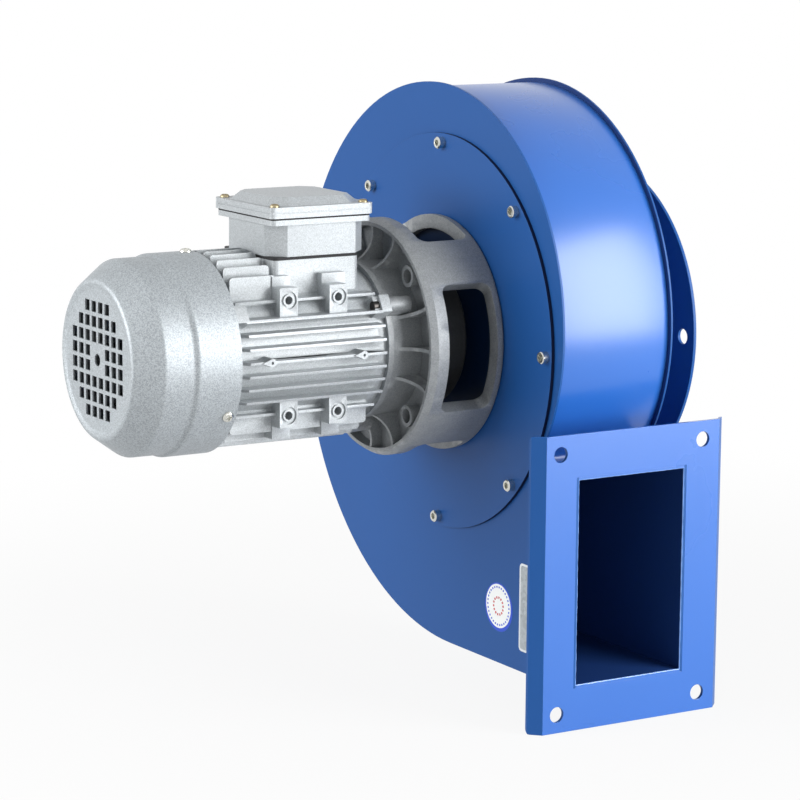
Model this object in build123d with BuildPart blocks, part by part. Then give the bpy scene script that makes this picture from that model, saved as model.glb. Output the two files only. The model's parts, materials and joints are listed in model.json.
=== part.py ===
from build123d import *
import os
from math import cos, radians, sin, sqrt

os.makedirs("parts", exist_ok=True)

# Induced draft fan: a small single-inlet centrifugal blower. The scroll casing is
# welded sheet, the outlet discharges level along +X at the bottom, and a finned
# flange motor drives the overhung impeller through a ventilated lantern.
# Frame: the origin is the centre of the inlet flange's outer face, +Y runs along
# the shaft out of the inlet, +X is the discharge direction and +Z is up, so that
# the motor lies at negative Y. All sizes are millimetres and degrees.

# Scroll casing
casing_width = 109.0
side_t = 2.0
wrapper_t = 2.0
side_overhang = 4.0
base_square = 30.0
tongue_arc_r = 160.0
tongue_lip_r = 10.0
outlet_height = 171.0
outlet_reach = 204.0
casing_opening_r = 146.0

# Outlet flange, a plate with both upright edges folded back
outlet_flange_width = 190.0
outlet_flange_height = 246.0
outlet_flange_t = 3.0
outlet_lip_depth = 12.0
outlet_bend_r = 9.0
outlet_lip_corner_r = 5.0
outlet_hole_edge_y = 24.5
outlet_hole_edge_z = 15.5
flange_hole_r = 6.5

# Inlet collar, flange and cone
collar_length = 55.0
collar_r = 100.0
collar_t = 2.0
inlet_flange_r = 140.0
inlet_flange_t = 3.0
inlet_hole_circle_r = 124.0
inlet_hole_count = 6
cone_throat_r = 73.0
cone_t = 1.5
cone_land = 14.0
cone_throat_run = 4.0

# Motor plate and its screws
motor_plate_r = 169.0
motor_plate_t = 3.0
motor_screw_circle_r = 161.0
motor_screw_count = 8
screw_r = 3.0
screw_head_r = 5.0
screw_head_h = 6.0
screw_socket_r = 2.9
screw_socket_depth = 3.0
nut_across = 10.0
nut_t = 5.0
hole_play = 0.3
thread_play = 0.05

# Drive end shield: bell, ribs, flange rim, lantern and nose in one casting
lantern_depth = 54.0
lantern_r = 100.3
lantern_wall = 12.0
lantern_edge_r = 3.0
window_length = 47.0
window_half_height = 53.0
window_corner_r = 9.0
window_count = 4
web_t = 5.0
rim_depth = 15.5
rim_edge_r = 97.0
rim_wall = 3.0
nose_r = 60.0
nose_wall = 6.0
nose_length = 44.0
nose_chamfer = 3.0
bell_rear_r = 67.0
bell_front_r = 66.0
bell_wall = 6.0
bell_length = 22.0
bell_ring_t = 5.0
rib_t = 3.0
rib_spread = 22.0
rib_reach = 15.0
ear_circle_r = 82.5
ear_r = 9.0
ear_hole_r = 6.0
ear_height = 10.5
housing_wall = 8.0
seal_gap = 3.5
lantern_screw_r = 4.0
lantern_screw_length = 18.0
lantern_screw_head_across = 13.0
lantern_screw_head_h = 5.5
seal_r = 30.0
seal_t = 4.0

# Motor frame
frame_length = 148.5
bore_r = 60.0
core_r = 66.0
fin_tip_r = 79.0
top_fin_tip_r = 82.5
fin_setback = 9.0
fin_tip_slant = 9.0
fin_rear_gap = 4.0
upright_fin_setback = 12.5
upright_fin_gap = 9.0
upright_fin_corner_r = 3.0
short_fin_z = 46.0
short_fin_reach = 58.5
sleeve_r = 62.5
fin_t = 2.2
fin_pitch = 11.0
side_fin_rows = 3
top_fin_pairs = 5
spigot_length = 5.0
spigot_wall = 5.0
pad_face = 65.0
pad_width = 16.5
pad_top = 57.0
pad_bottom = 33.0
pad_hole_z = 47.0
pad_spacing = 46.0
pad_setback = 47.2
pad_bore_r = 3.4
pad_bore_depth = 14.0
pad_boss_r = 5.0
pad_recess_r = 7.2
pad_recess_depth = 1.5
foot_face = 68.0
foot_top_drop = 3.0
foot_inner = 37.0
foot_outer = 52.0
foot_wide = 22.0
lug_circle_r = 72.5
lug_count = 3
lug_start = 30.0
lug_width = 15.0
lug_root_r = 58.0
lug_length = 14.0
lug_seat = 9.0
lug_step_r = 76.0
lug_recess_r = 4.7
rear_lug_length = 16.0
lug_boss_r = 7.0
lug_boss_length = 19.5
plate_boss_r = 3.5
plate_boss_hole_r = 1.2
plate_boss_rise = 1.5
plate_boss_near = 31.3
plate_boss_far = 116.5
plate_boss_tail = 9.0
end_screw_r = 2.5
end_screw_head_r = 4.2
end_screw_head_h = 5.0
end_screw_grip = 12.0

# Turret and terminal box
turret_half_x = 44.0
turret_length = 80.0
turret_setback = 15.5
turret_top = 76.5
turret_corner_r = 5.0
box_setback = 5.2
box_clearance = 1.0
lead_hole_x = 36.0
lead_hole_y = 20.0
lead_hole_shift = 22.0
box_gasket_t = 2.5
box_half = 44.0
box_half_y = 45.8
box_corner = 14.0
box_height = 26.0
box_wall = 3.5
box_rim_x = 95.0
box_rim_y = 92.5
lid_shift = -1.6
box_rim_t = 4.5
lid_gasket_t = 1.5
lid_x = 98.0
lid_y = 95.6
lid_t = 9.0
lid_groove = 0.7
lid_groove_h = 1.0
lid_crown_h = 6.5
lid_crown_inset = 5.0
lid_crown_bevel = 7.5
lid_crown_corner = 14.0
lid_wall = 3.0
lid_corner_r = 4.0
lid_screw_inset = 6.5
lid_screw_r = 2.0
lid_screw_head_r = 4.0
lid_screw_head_h = 2.4
terminal_x = 42.0
terminal_y = 34.0
terminal_h = 9.0
terminal_pitch = 13.0
terminal_row = 16.0
stud_r = 2.0
stud_h = 8.0
terminal_shift = -12.0
box_screw_span = 62.0
box_screw_grip = 8.0
entry_plug_r = 10.0
entry_plug_across = 24.0
entry_plug_t = 6.0
entry_plug_height = 12.5

# Rear end shield and fan cowl
rear_shield_r = 76.0
rear_shield_t = 8.0
cowl_rim_r = 82.7
cowl_body_r = 80.5
cowl_corner_r = 80.3
cowl_face_r = 64.0
cowl_recess_r = 58.0
cowl_recess = 2.0
cowl_t = 1.5
cowl_overlap = 3.5
cowl_swage_at = 38.0
cowl_swage_run = 3.0
cowl_corner_at = 66.5
cowl_edge_r = 4.5
cowl_length = 89.2
grille_pitch_x = 11.8
grille_pitch_z = 12.2
grille_hole_x = 8.2
grille_hole_z = 9.0
grille_centre_r = 5.0
cowl_screw_count = 3
cowl_screw_start = -30.0
cowl_screw_r = 2.5
cowl_screw_head_r = 5.0
cowl_screw_head_h = 2.6
cowl_screw_grip = 6.0
cowl_ear_width = 14.0

# Ball bearings and the preload spring
front_bearing_bore_r = 12.5
front_bearing_r = 26.0
front_bearing_width = 15.0
rear_bearing_bore_r = 10.0
rear_bearing_r = 23.5
rear_bearing_width = 14.0
race_half_gap = 2.0
front_ball_r = 3.97
rear_ball_r = 3.97
ball_play = 0.05
ball_count = 8
spring_t = 1.5
housing_floor_t = 3.0
housing_bore_play = 1.0

# Stator and rotor
stator_length = 78.0
stator_bore_r = 35.35
air_gap = 0.35
slot_count = 24
slot_width = 4.2
slot_inner_r = 37.5
slot_outer_r = 50.0
winding_play = 0.1
winding_overhang = 16.0
end_ring_inner_r = 22.0
end_ring_l = 9.0

# Shaft, key and impeller fastening
rotor_seat_r = 14.0
extension_r = 12.0
impeller_seat_r = 9.5
fan_seat_r = 7.0
key_width = 6.0
key_height = 6.0
key_length = 30.0
key_depth = 3.5
key_top_play = 0.2
washer_r = 14.0
washer_t = 3.0
bolt_r = 4.0
bolt_across = 13.0
bolt_head_h = 5.5
bolt_grip = 16.0

# Impeller
impeller_r = 135.0
impeller_back_gap = 20.0
backplate_t = 2.0
blade_count = 12
blade_inner_r = 82.0
blade_sweep = 42.0
blade_mid_sweep = 26.0
blade_t = 2.0
blade_width_outer = 38.0
blade_width_inner = 48.0
shroud_t = 2.0
eye_r = 78.0
eye_lip = 8.0
hub_r = 20.0
hub_flange_r = 38.0
hub_flange_t = 6.0
hub_back_length = 4.0
hub_length = 44.0
rivet_count = 6
rivet_circle_r = 30.0
rivet_r = 3.0
rivet_head_r = 5.0
rivet_head_h = 2.2

# Cooling fan
fan_r = 66.0
fan_hub_r = 13.0
fan_disc_t = 3.0
fan_blade_h = 20.0
fan_blade_t = 2.5
fan_blade_count = 8
fan_gap = 10.0
fan_hub_length = 26.0
clip_r = 11.0
clip_t = 1.2
clip_groove_depth = 0.8
shaft_tail = 4.0

# Places along the shaft
inlet_y = 0.0
rear_plate_y = inlet_y - collar_length
front_plate_y = rear_plate_y - casing_width
motor_plate_y = front_plate_y - motor_plate_t
web_y = motor_plate_y - lantern_depth
web_back_y = web_y - web_t
rim_y = web_y - rim_depth
frame_front_y = rim_y - bell_length
frame_rear_y = frame_front_y - frame_length
cowl_rim_y = frame_rear_y + cowl_overlap
cowl_face_y = cowl_rim_y - cowl_length
rear_bearing_y = frame_rear_y + spigot_length
spring_y = rear_bearing_y - rear_bearing_width
housing_floor_y = spring_y - spring_t
housing_back_y = housing_floor_y - housing_floor_t
stator_front_y = frame_front_y - (frame_length - stator_length) / 2
stator_rear_y = stator_front_y - stator_length
backplate_y = front_plate_y + side_t + impeller_back_gap
blade_root_y = backplate_y + backplate_t
hub_back_y = backplate_y - hub_flange_t - hub_back_length
hub_front_y = hub_back_y + hub_length
fan_front_y = housing_back_y - fan_gap
fan_back_y = fan_front_y - fan_hub_length
shaft_rear_y = fan_back_y - clip_t - shaft_tail

# Outlet, worked out from the scroll
half_square = base_square / 2
outlet_floor_z = -(half_square + tongue_arc_r + 3 * base_square)
outlet_roof_z = outlet_floor_z + outlet_height
outlet_mid_z = (outlet_floor_z + outlet_roof_z) / 2
outlet_mid_y = (front_plate_y + rear_plate_y) / 2
outlet_back_x = outlet_reach - outlet_flange_t
outlet_hole_span_y = outlet_flange_width - 2 * outlet_hole_edge_y
outlet_hole_span_z = outlet_flange_height - 2 * outlet_hole_edge_z
plate_hole_r = screw_r + hole_play


def across(y):
    """Plane across the shaft at y, facing the motor, with X to the right and Z up."""
    return Plane(origin=(0, y, 0), x_dir=(1, 0, 0), z_dir=(0, -1, 0))


def radial(angle, y=0.0):
    """Plane whose normal points out from the shaft at this angle above +X."""
    out = (cos(radians(angle)), 0, sin(radians(angle)))
    return Plane(origin=(0, y, 0), x_dir=(0, 1, 0), z_dir=out)


def beside(angle):
    """Plane through the shaft axis at this angle: local X is the radius, local Y is +Y."""
    out = (cos(radians(angle)), 0, sin(radians(angle)))
    side = (-sin(radians(angle)), 0, cos(radians(angle)))
    return Plane(origin=(0, 0, 0), x_dir=out, z_dir=side)


def band(inner, outer, low, high):
    """Rectangle of a turned section, between two radii and two places along the shaft."""
    with Locations(((inner + outer) / 2, (low + high) / 2)):
        Rectangle(outer - inner, high - low)


def air_path(grow):
    """Scroll and outlet duct seen along the shaft, grown outwards by a wall."""
    radii = [tongue_arc_r + step * base_square for step in range(4)]
    throat_x = half_square + sqrt(radii[0] ** 2 - (outlet_roof_z - half_square) ** 2)
    start = atan_degrees(outlet_roof_z - half_square, throat_x - half_square)
    far_x = outlet_reach + 3 * base_square
    with BuildSketch(Plane.XY) as sketch:
        with BuildLine():
            CenterArc((half_square, half_square), radii[0], start, -start)
            CenterArc((-half_square, half_square), radii[1], 0, 90)
            CenterArc((-half_square, -half_square), radii[2], 90, 90)
            CenterArc((half_square, -half_square), radii[3], 180, 90)
            Line((half_square, outlet_floor_z), (far_x, outlet_floor_z))
            Line((far_x, outlet_floor_z), (far_x, outlet_roof_z))
            Line((far_x, outlet_roof_z), (throat_x, outlet_roof_z))
        make_face()
        tongue = sketch.vertices().sort_by_distance((throat_x, outlet_roof_z, 0))[0]
        fillet(tongue, tongue_lip_r)
        if grow > 0:
            offset(amount=grow)
    return sketch.sketch


def atan_degrees(rise, run):
    """Angle of a direction, in degrees."""
    return Vector(1, 0, 0).get_signed_angle(Vector(run, rise, 0), Vector(0, 0, 1))


def beyond(x):
    """Large rectangle covering everything past x, for trimming the duct."""
    reach = 6 * base_square
    with Locations((x + reach / 2, outlet_mid_z)):
        Rectangle(reach, 3 * outlet_height, mode=Mode.SUBTRACT)


def side_plate_outline():
    """Outline of a side plate: its rim overhangs the wrapper, but not in the flange."""
    with BuildSketch(Plane.XY) as sketch:
        add(air_path(wrapper_t + side_overhang))
        beyond(outlet_back_x)
        with BuildSketch(Plane.XY, mode=Mode.PRIVATE) as duct_end:
            add(air_path(wrapper_t))
            beyond(outlet_reach)
        add(duct_end.sketch)
    return sketch.sketch


# Scroll casing
with BuildPart() as front_side_plate:
    with BuildSketch(across(front_plate_y + side_t)):
        add(side_plate_outline())
        Circle(casing_opening_r, mode=Mode.SUBTRACT)
        with PolarLocations(motor_screw_circle_r, motor_screw_count):
            Circle(plate_hole_r, mode=Mode.SUBTRACT)
    extrude(amount=side_t)

with BuildPart() as rear_side_plate:
    with BuildSketch(across(rear_plate_y)):
        add(side_plate_outline())
        Circle(collar_r - collar_t, mode=Mode.SUBTRACT)
    extrude(amount=side_t)

with BuildPart() as scroll_wrapper:
    with BuildSketch(across(rear_plate_y - side_t)):
        add(air_path(wrapper_t))
        add(air_path(0), mode=Mode.SUBTRACT)
        beyond(outlet_reach)
    extrude(amount=casing_width - 2 * side_t)

with BuildPart() as outlet_flange:
    with BuildSketch(Plane.XY.offset(outlet_mid_z - outlet_flange_height / 2)):
        with Locations((outlet_reach, outlet_mid_y)):
            Rectangle(
                outlet_lip_depth, outlet_flange_width, align=(Align.MAX, Align.CENTER)
            )
        fillet(vertices().group_by(Axis.X)[-1], outlet_bend_r)
        with BuildSketch(mode=Mode.SUBTRACT):
            with Locations((outlet_back_x, outlet_mid_y)):
                Rectangle(
                    outlet_lip_depth,
                    outlet_flange_width - 2 * outlet_flange_t,
                    align=(Align.MAX, Align.CENTER),
                )
            fillet(vertices().group_by(Axis.X)[-1], outlet_bend_r - outlet_flange_t)
    extrude(amount=outlet_flange_height)
    lip_corners = edges().filter_by(Axis.Y).group_by(Axis.X)[0]
    fillet(lip_corners, outlet_lip_corner_r)
    flange_face = Plane(
        origin=(outlet_reach, outlet_mid_y, outlet_mid_z), x_dir=(0, 1, 0), z_dir=(1, 0, 0)
    )
    with BuildSketch(flange_face):
        Rectangle(casing_width, outlet_height + 2 * wrapper_t)
        with GridLocations(outlet_hole_span_y, outlet_hole_span_z, 2, 2):
            Circle(flange_hole_r)
    extrude(amount=-outlet_flange_t, mode=Mode.SUBTRACT)

with BuildPart() as inlet_collar:
    with BuildSketch(across(inlet_y)):
        Circle(collar_r)
        Circle(collar_r - collar_t, mode=Mode.SUBTRACT)
    extrude(amount=collar_length)

with BuildPart() as inlet_flange:
    with BuildSketch(across(inlet_y)):
        Circle(inlet_flange_r)
        Circle(collar_r, mode=Mode.SUBTRACT)
        with PolarLocations(inlet_hole_circle_r, inlet_hole_count):
            Circle(flange_hole_r, mode=Mode.SUBTRACT)
    extrude(amount=inlet_flange_t)

cone_face_y = rear_plate_y - side_t
cone_mouth_r = collar_r - collar_t
shroud_tip_y = blade_root_y + blade_width_outer
shroud_eye_y = blade_root_y + blade_width_inner
eye_end_y = shroud_eye_y + eye_lip
cone_end_y = eye_end_y - eye_lip / 2
with BuildPart() as inlet_cone:
    with BuildSketch(Plane.XY):
        with BuildLine():
            throat_top = (cone_throat_r, cone_end_y + cone_throat_run)
            mouth = (cone_mouth_r, cone_face_y)
            Line((cone_throat_r, cone_end_y), throat_top)
            TangentArc(throat_top, mouth, tangent=(0, 1))
            Line(mouth, (cone_mouth_r + cone_land, cone_face_y))
            Line(
                (cone_mouth_r + cone_land, cone_face_y),
                (cone_mouth_r + cone_land, cone_face_y - cone_t),
            )
            outer_throat = (cone_throat_r + cone_t, cone_end_y + cone_throat_run)
            outer_mouth = (cone_mouth_r + cone_t, cone_face_y - cone_t)
            Line((cone_mouth_r + cone_land, cone_face_y - cone_t), outer_mouth)
            TangentArc(outer_throat, outer_mouth, tangent=(0, 1))
            Line(outer_throat, (cone_throat_r + cone_t, cone_end_y))
            Line((cone_throat_r + cone_t, cone_end_y), (cone_throat_r, cone_end_y))
        make_face()
    revolve(axis=Axis.Y)

# Motor plate, its screws and the nuts welded inside the front side plate
with BuildPart() as motor_plate:
    with BuildSketch(across(front_plate_y)):
        Circle(motor_plate_r)
        Circle(extension_r + seal_gap, mode=Mode.SUBTRACT)
        with PolarLocations(motor_screw_circle_r, motor_screw_count):
            Circle(plate_hole_r, mode=Mode.SUBTRACT)
        with PolarLocations(lantern_r - lantern_wall / 2, window_count, start_angle=45):
            Circle(lantern_screw_r + hole_play, mode=Mode.SUBTRACT)
    extrude(amount=motor_plate_t)

screw_length = motor_plate_t + side_t + nut_t + screw_r / 2
with BuildPart() as motor_plate_screws:
    with BuildSketch(across(motor_plate_y)):
        with PolarLocations(motor_screw_circle_r, motor_screw_count):
            Circle(screw_head_r)
    extrude(amount=screw_head_h)
    with BuildSketch(across(motor_plate_y - screw_head_h)):
        with PolarLocations(motor_screw_circle_r, motor_screw_count):
            RegularPolygon(screw_socket_r, 6)
    extrude(amount=-screw_socket_depth, mode=Mode.SUBTRACT)
    with BuildSketch(across(motor_plate_y)):
        with PolarLocations(motor_screw_circle_r, motor_screw_count):
            Circle(screw_r)
    extrude(amount=-screw_length)

with BuildPart() as motor_plate_nuts:
    with BuildSketch(across(front_plate_y + side_t)):
        with PolarLocations(motor_screw_circle_r, motor_screw_count):
            RegularPolygon(nut_across / 2, 6, major_radius=False)
            Circle(screw_r + thread_play, mode=Mode.SUBTRACT)
    extrude(amount=-nut_t)

# Drive end shield
housing_r = front_bearing_r + housing_wall
rim_inner_r = rim_edge_r - rim_wall
window_wall_x = sqrt(lantern_r**2 - window_half_height**2)
with BuildPart() as drive_end_shield:
    with BuildSketch(Plane.XY) as shield_section:
        band(lantern_r - lantern_wall, lantern_r, web_y - web_t, motor_plate_y)
        foot_edge = shield_section.vertices().sort_by_distance((lantern_r, motor_plate_y, 0))
        fillet(foot_edge[0], lantern_edge_r)
        band(extension_r + seal_gap, lantern_r - lantern_wall, web_back_y, web_y)
        band(nose_r - nose_wall, nose_r, web_y, web_y + nose_length)
        nose_edge = shield_section.vertices().sort_by_distance(
            (nose_r, web_y + nose_length, 0)
        )
        chamfer(nose_edge[0], nose_chamfer)
        band(front_bearing_r, housing_r, web_back_y - front_bearing_width, web_back_y)
        band(bore_r - spigot_wall, bell_rear_r, frame_front_y, frame_front_y + bell_ring_t)
        band(
            bore_r - spigot_wall,
            bore_r - thread_play,
            frame_front_y - spigot_length,
            frame_front_y,
        )
        with BuildLine():
            Polyline(
                (rim_inner_r, web_y),
                (rim_inner_r, rim_y),
                (rim_edge_r, rim_y),
                (lantern_r, web_back_y - bell_ring_t),
                (lantern_r, web_y),
                close=True,
            )
        make_face()
        with BuildLine():
            Polyline(
                (bell_rear_r, frame_front_y),
                (bell_front_r, web_back_y),
                (bell_front_r - bell_wall, web_back_y),
                (bell_rear_r - bell_wall, frame_front_y),
                close=True,
            )
        make_face()
    revolve(axis=Axis.Y)
    # Gusset ribs between the bell and the flange rim, in threes about each window
    rib_angles = [90 * turn + side * rib_spread for turn in range(4) for side in (-1, 0, 1)]
    rib_low_y = rim_y - rib_reach
    for angle in rib_angles:
        with BuildSketch(beside(angle)):
            with BuildLine():
                rib_foot = (bell_front_r, rib_low_y)
                rib_top = (rim_inner_r + rim_wall / 2, rim_y)
                TangentArc(rib_foot, rib_top, tangent=(0.35, 1))
                Line(rib_top, (rim_inner_r + rim_wall / 2, web_y))
                Line((rim_inner_r + rim_wall / 2, web_y), (bell_front_r - bell_wall / 2, web_y))
                Line((bell_front_r - bell_wall / 2, web_y), rib_foot)
            make_face()
        extrude(amount=rib_t / 2, both=True)
    # Ears round the four flange holes
    with BuildSketch(across(web_back_y)):
        with PolarLocations(ear_circle_r, 4, start_angle=45):
            Circle(ear_r)
    extrude(amount=ear_height)
    with BuildSketch(across(web_y)):
        with PolarLocations(ear_circle_r, 4, start_angle=45):
            Circle(ear_hole_r)
    extrude(amount=web_t + ear_height, mode=Mode.SUBTRACT)
    # Bosses for the screws that hold the frame
    with BuildSketch(across(frame_front_y + lug_boss_length)):
        with PolarLocations(lug_circle_r, lug_count, start_angle=lug_start):
            Circle(lug_boss_r)
            Rectangle(
                lug_circle_r - bell_front_r + bell_wall / 2,
                2 * lug_boss_r,
                align=(Align.MAX, Align.CENTER),
            )
    extrude(amount=lug_boss_length)
    with BuildSketch(across(frame_front_y)):
        with PolarLocations(lug_circle_r, lug_count, start_angle=lug_start):
            Circle(end_screw_r + thread_play)
    extrude(amount=-(end_screw_grip + end_screw_r), mode=Mode.SUBTRACT)
    # Windows
    for turn in range(window_count):
        for reach in (nose_r + nose_wall, lantern_r + nose_wall):
            half_height = window_half_height * reach / window_wall_x
            with BuildSketch(radial(turn * 360 / window_count).offset(reach)):
                with Locations((web_y + window_length / 2, 0)):
                    RectangleRounded(window_length, 2 * half_height, window_corner_r)
        loft(mode=Mode.SUBTRACT)
    # Blind threads in the foot for the screws from the motor plate
    with BuildSketch(across(motor_plate_y)):
        with PolarLocations(lantern_r - lantern_wall / 2, window_count, start_angle=45):
            Circle(lantern_screw_r + thread_play)
    extrude(amount=lantern_screw_length, mode=Mode.SUBTRACT)

with BuildPart() as lantern_screws:
    with BuildSketch(across(front_plate_y)):
        with PolarLocations(lantern_r - lantern_wall / 2, window_count, start_angle=45):
            RegularPolygon(lantern_screw_head_across / 2, 6, major_radius=False)
    extrude(amount=-lantern_screw_head_h)
    with BuildSketch(across(front_plate_y)):
        with PolarLocations(lantern_r - lantern_wall / 2, window_count, start_angle=45):
            Circle(lantern_screw_r)
    extrude(amount=motor_plate_t + lantern_screw_length - lantern_screw_r)

with BuildPart() as shaft_seal:
    with BuildSketch(across(front_plate_y)):
        Circle(seal_r)
        Circle(extension_r + hole_play, mode=Mode.SUBTRACT)
    extrude(amount=-seal_t)

# Motor frame
side_fins = range(-side_fin_rows, side_fin_rows + 1)
upright_fins = [(index + 0.5) * fin_pitch for index in range(-top_fin_pairs, top_fin_pairs)]
pad_ys = [
    frame_front_y - pad_setback,
    frame_front_y - pad_setback - pad_spacing,
]
turret_mid_y = frame_front_y - turret_setback - turret_length / 2
box_mid_y = frame_front_y - box_setback - box_half_y
box_rear_y = box_mid_y - box_half_y
pad_mid_x = (pad_face + foot_inner) / 2
pad_mid_z = (pad_top + pad_bottom) / 2
foot_mid_x = (foot_outer + foot_inner) / 2
core_front_y = frame_front_y - fin_setback
side_fin_rear_y = frame_rear_y + fin_rear_gap
upright_fin_front_y = frame_front_y - upright_fin_setback
upright_fin_rear_y = frame_rear_y + upright_fin_gap


def half_disc(radius, side):
    """Half of a disc in the sketch, above the shaft for side 1 and below it for side -1."""
    align = Align.MIN if side > 0 else Align.MAX
    Circle(radius, mode=Mode.INTERSECT)
    Rectangle(2 * radius, radius, align=(Align.CENTER, align), mode=Mode.INTERSECT)


with BuildPart() as motor_frame:
    # Side fins, cut back on a slant towards the cowl
    with BuildSketch(across(core_front_y)):
        for row in side_fins:
            with Locations((0, row * fin_pitch)):
                Rectangle(2 * fin_tip_r, fin_t)
        Circle(fin_tip_r, mode=Mode.INTERSECT)
        for side in (-1, 1):
            with Locations((0, side * short_fin_z)):
                Rectangle(2 * short_fin_reach, fin_t)
    extrude(amount=core_front_y - side_fin_rear_y)
    with BuildSketch(Plane.XY):
        with BuildLine():
            Polyline(
                (core_r, side_fin_rear_y),
                (fin_tip_r, side_fin_rear_y + fin_tip_slant),
                (fin_tip_r + fin_pitch, side_fin_rear_y + fin_tip_slant),
                (fin_tip_r + fin_pitch, side_fin_rear_y - fin_pitch),
                (core_r, side_fin_rear_y - fin_pitch),
                close=True,
            )
        make_face()
    revolve(axis=Axis.Y, mode=Mode.SUBTRACT)
    # Upright fins: long ones below, short ones above between the box and the cowl
    for radius, side, front in (
        (fin_tip_r, -1, upright_fin_front_y),
        (top_fin_tip_r, 1, box_rear_y - box_clearance),
    ):
        for place in upright_fins:
            tip = sqrt(radius**2 - place**2)
            with BuildSketch(Plane.YZ.offset(place)):
                with Locations(((front + upright_fin_rear_y) / 2, side * tip / 2)):
                    Rectangle(front - upright_fin_rear_y, tip)
                fillet(
                    vertices().group_by(Axis.Y)[-1 if side > 0 else 0], upright_fin_corner_r
                )
            extrude(amount=fin_t / 2, both=True)
    with BuildSketch(across(core_front_y)):
        Circle(core_r)
    extrude(amount=core_front_y - frame_rear_y)
    with BuildSketch(across(frame_front_y)):
        Circle(sleeve_r)
    extrude(amount=fin_setback)
    # Turret under the terminal box
    with BuildSketch(Plane.XY.offset(turret_top)):
        with Locations((0, turret_mid_y)):
            Rectangle(2 * turret_half_x, turret_length)
        fillet(vertices(), turret_corner_r)
    extrude(amount=-(turret_top - pad_hole_z))
    # Foot blocks, each with a side pad and an upper or lower face
    for place in pad_ys:
        with BuildSketch(across(place + pad_width / 2)):
            for flip_x in (-1, 1):
                for flip_z in (-1, 1):
                    with Locations((flip_x * pad_mid_x, flip_z * pad_mid_z)):
                        Rectangle(pad_face - foot_inner, pad_top - pad_bottom)
        extrude(amount=pad_width)
        with BuildSketch(across(place + pad_width / 2)):
            for flip_x in (-1, 1):
                with Locations((flip_x * foot_mid_x, -(foot_face + pad_bottom) / 2)):
                    Rectangle(foot_outer - foot_inner, foot_face - pad_bottom)
        extrude(amount=pad_width)
    for place, width in zip(pad_ys, (foot_wide, pad_width)):
        with BuildSketch(across(place - pad_width / 2 + width)):
            for flip_x in (-1, 1):
                with Locations((flip_x * foot_mid_x, (foot_face - foot_top_drop + pad_bottom) / 2)):
                    Rectangle(foot_outer - foot_inner, foot_face - foot_top_drop - pad_bottom)
        extrude(amount=width)
    # Lugs at both ends for the end shields' screws, the front ones with a step for the heads
    for front, length, reach in (
        (frame_front_y, lug_seat, fin_tip_r),
        (frame_front_y, lug_length, lug_step_r),
        (frame_rear_y + rear_lug_length, rear_lug_length, fin_tip_r),
    ):
        with BuildSketch(across(front)):
            with PolarLocations(lug_root_r, lug_count, start_angle=lug_start):
                Rectangle(fin_tip_r, lug_width, align=(Align.MIN, Align.CENTER))
            Circle(reach, mode=Mode.INTERSECT)
        extrude(amount=length)
    # Small screw bosses on the middle fin, each with a tail towards the cowl
    for reach in (plate_boss_near, plate_boss_far):
        boss_y = frame_front_y - reach
        for side in (0, 180):
            with BuildSketch(radial(side).offset(core_r)):
                with Locations((boss_y, 0)):
                    Circle(plate_boss_r)
                with BuildLine():
                    Polyline(
                        (boss_y, plate_boss_r),
                        (boss_y - plate_boss_tail, 0),
                        (boss_y, -plate_boss_r),
                        close=True,
                    )
                make_face()
            extrude(amount=fin_tip_r + plate_boss_rise - core_r)
            with BuildSketch(radial(side).offset(fin_tip_r + plate_boss_rise)):
                with Locations((boss_y, 0)):
                    Circle(plate_boss_hole_r)
            extrude(amount=-plate_boss_r, mode=Mode.SUBTRACT)
    with BuildSketch(across(frame_front_y)):
        Circle(bore_r)
    extrude(amount=frame_length, mode=Mode.SUBTRACT)
    with BuildSketch(Plane.XY.offset(turret_top)):
        with Locations((0, box_mid_y + lead_hole_shift)):
            Rectangle(lead_hole_x, lead_hole_y)
    extrude(amount=-(turret_top - bore_r / 2), mode=Mode.SUBTRACT)
    with BuildSketch(Plane.XY.offset(turret_top)):
        with Locations((0, box_mid_y)):
            with GridLocations(box_screw_span, box_screw_span, 2, 2):
                Circle(lid_screw_r + thread_play)
    extrude(amount=-(box_screw_grip + lid_screw_r), mode=Mode.SUBTRACT)
    # Threaded holes in the side pads
    for side in (0, 180):
        with BuildSketch(radial(side).offset(pad_face)):
            for place in pad_ys:
                for height in (-pad_hole_z, pad_hole_z):
                    with Locations((place, height)):
                        Circle(pad_bore_r)
        extrude(amount=-pad_bore_depth, mode=Mode.SUBTRACT)
        with BuildSketch(radial(side).offset(pad_face)):
            for place in pad_ys:
                for height in (-pad_hole_z, pad_hole_z):
                    with Locations((place, height)):
                        Circle(pad_recess_r)
                        Circle(pad_boss_r, mode=Mode.SUBTRACT)
        extrude(amount=-pad_recess_depth, mode=Mode.SUBTRACT)
    # Screw holes along the lugs: recessed and clear at the drive end, threads at the rear
    with BuildSketch(across(frame_front_y)):
        with PolarLocations(lug_circle_r, lug_count, start_angle=lug_start):
            Circle(end_screw_r + hole_play)
    extrude(amount=lug_length, mode=Mode.SUBTRACT)
    with BuildSketch(across(frame_front_y - lug_seat)):
        with PolarLocations(lug_circle_r, lug_count, start_angle=lug_start):
            Circle(lug_recess_r)
    extrude(amount=2 * end_screw_head_h, mode=Mode.SUBTRACT)
    with BuildSketch(across(frame_rear_y + rear_lug_length)):
        with PolarLocations(lug_circle_r, lug_count, start_angle=lug_start):
            Circle(end_screw_r + thread_play)
    extrude(amount=rear_lug_length, mode=Mode.SUBTRACT)

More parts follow.
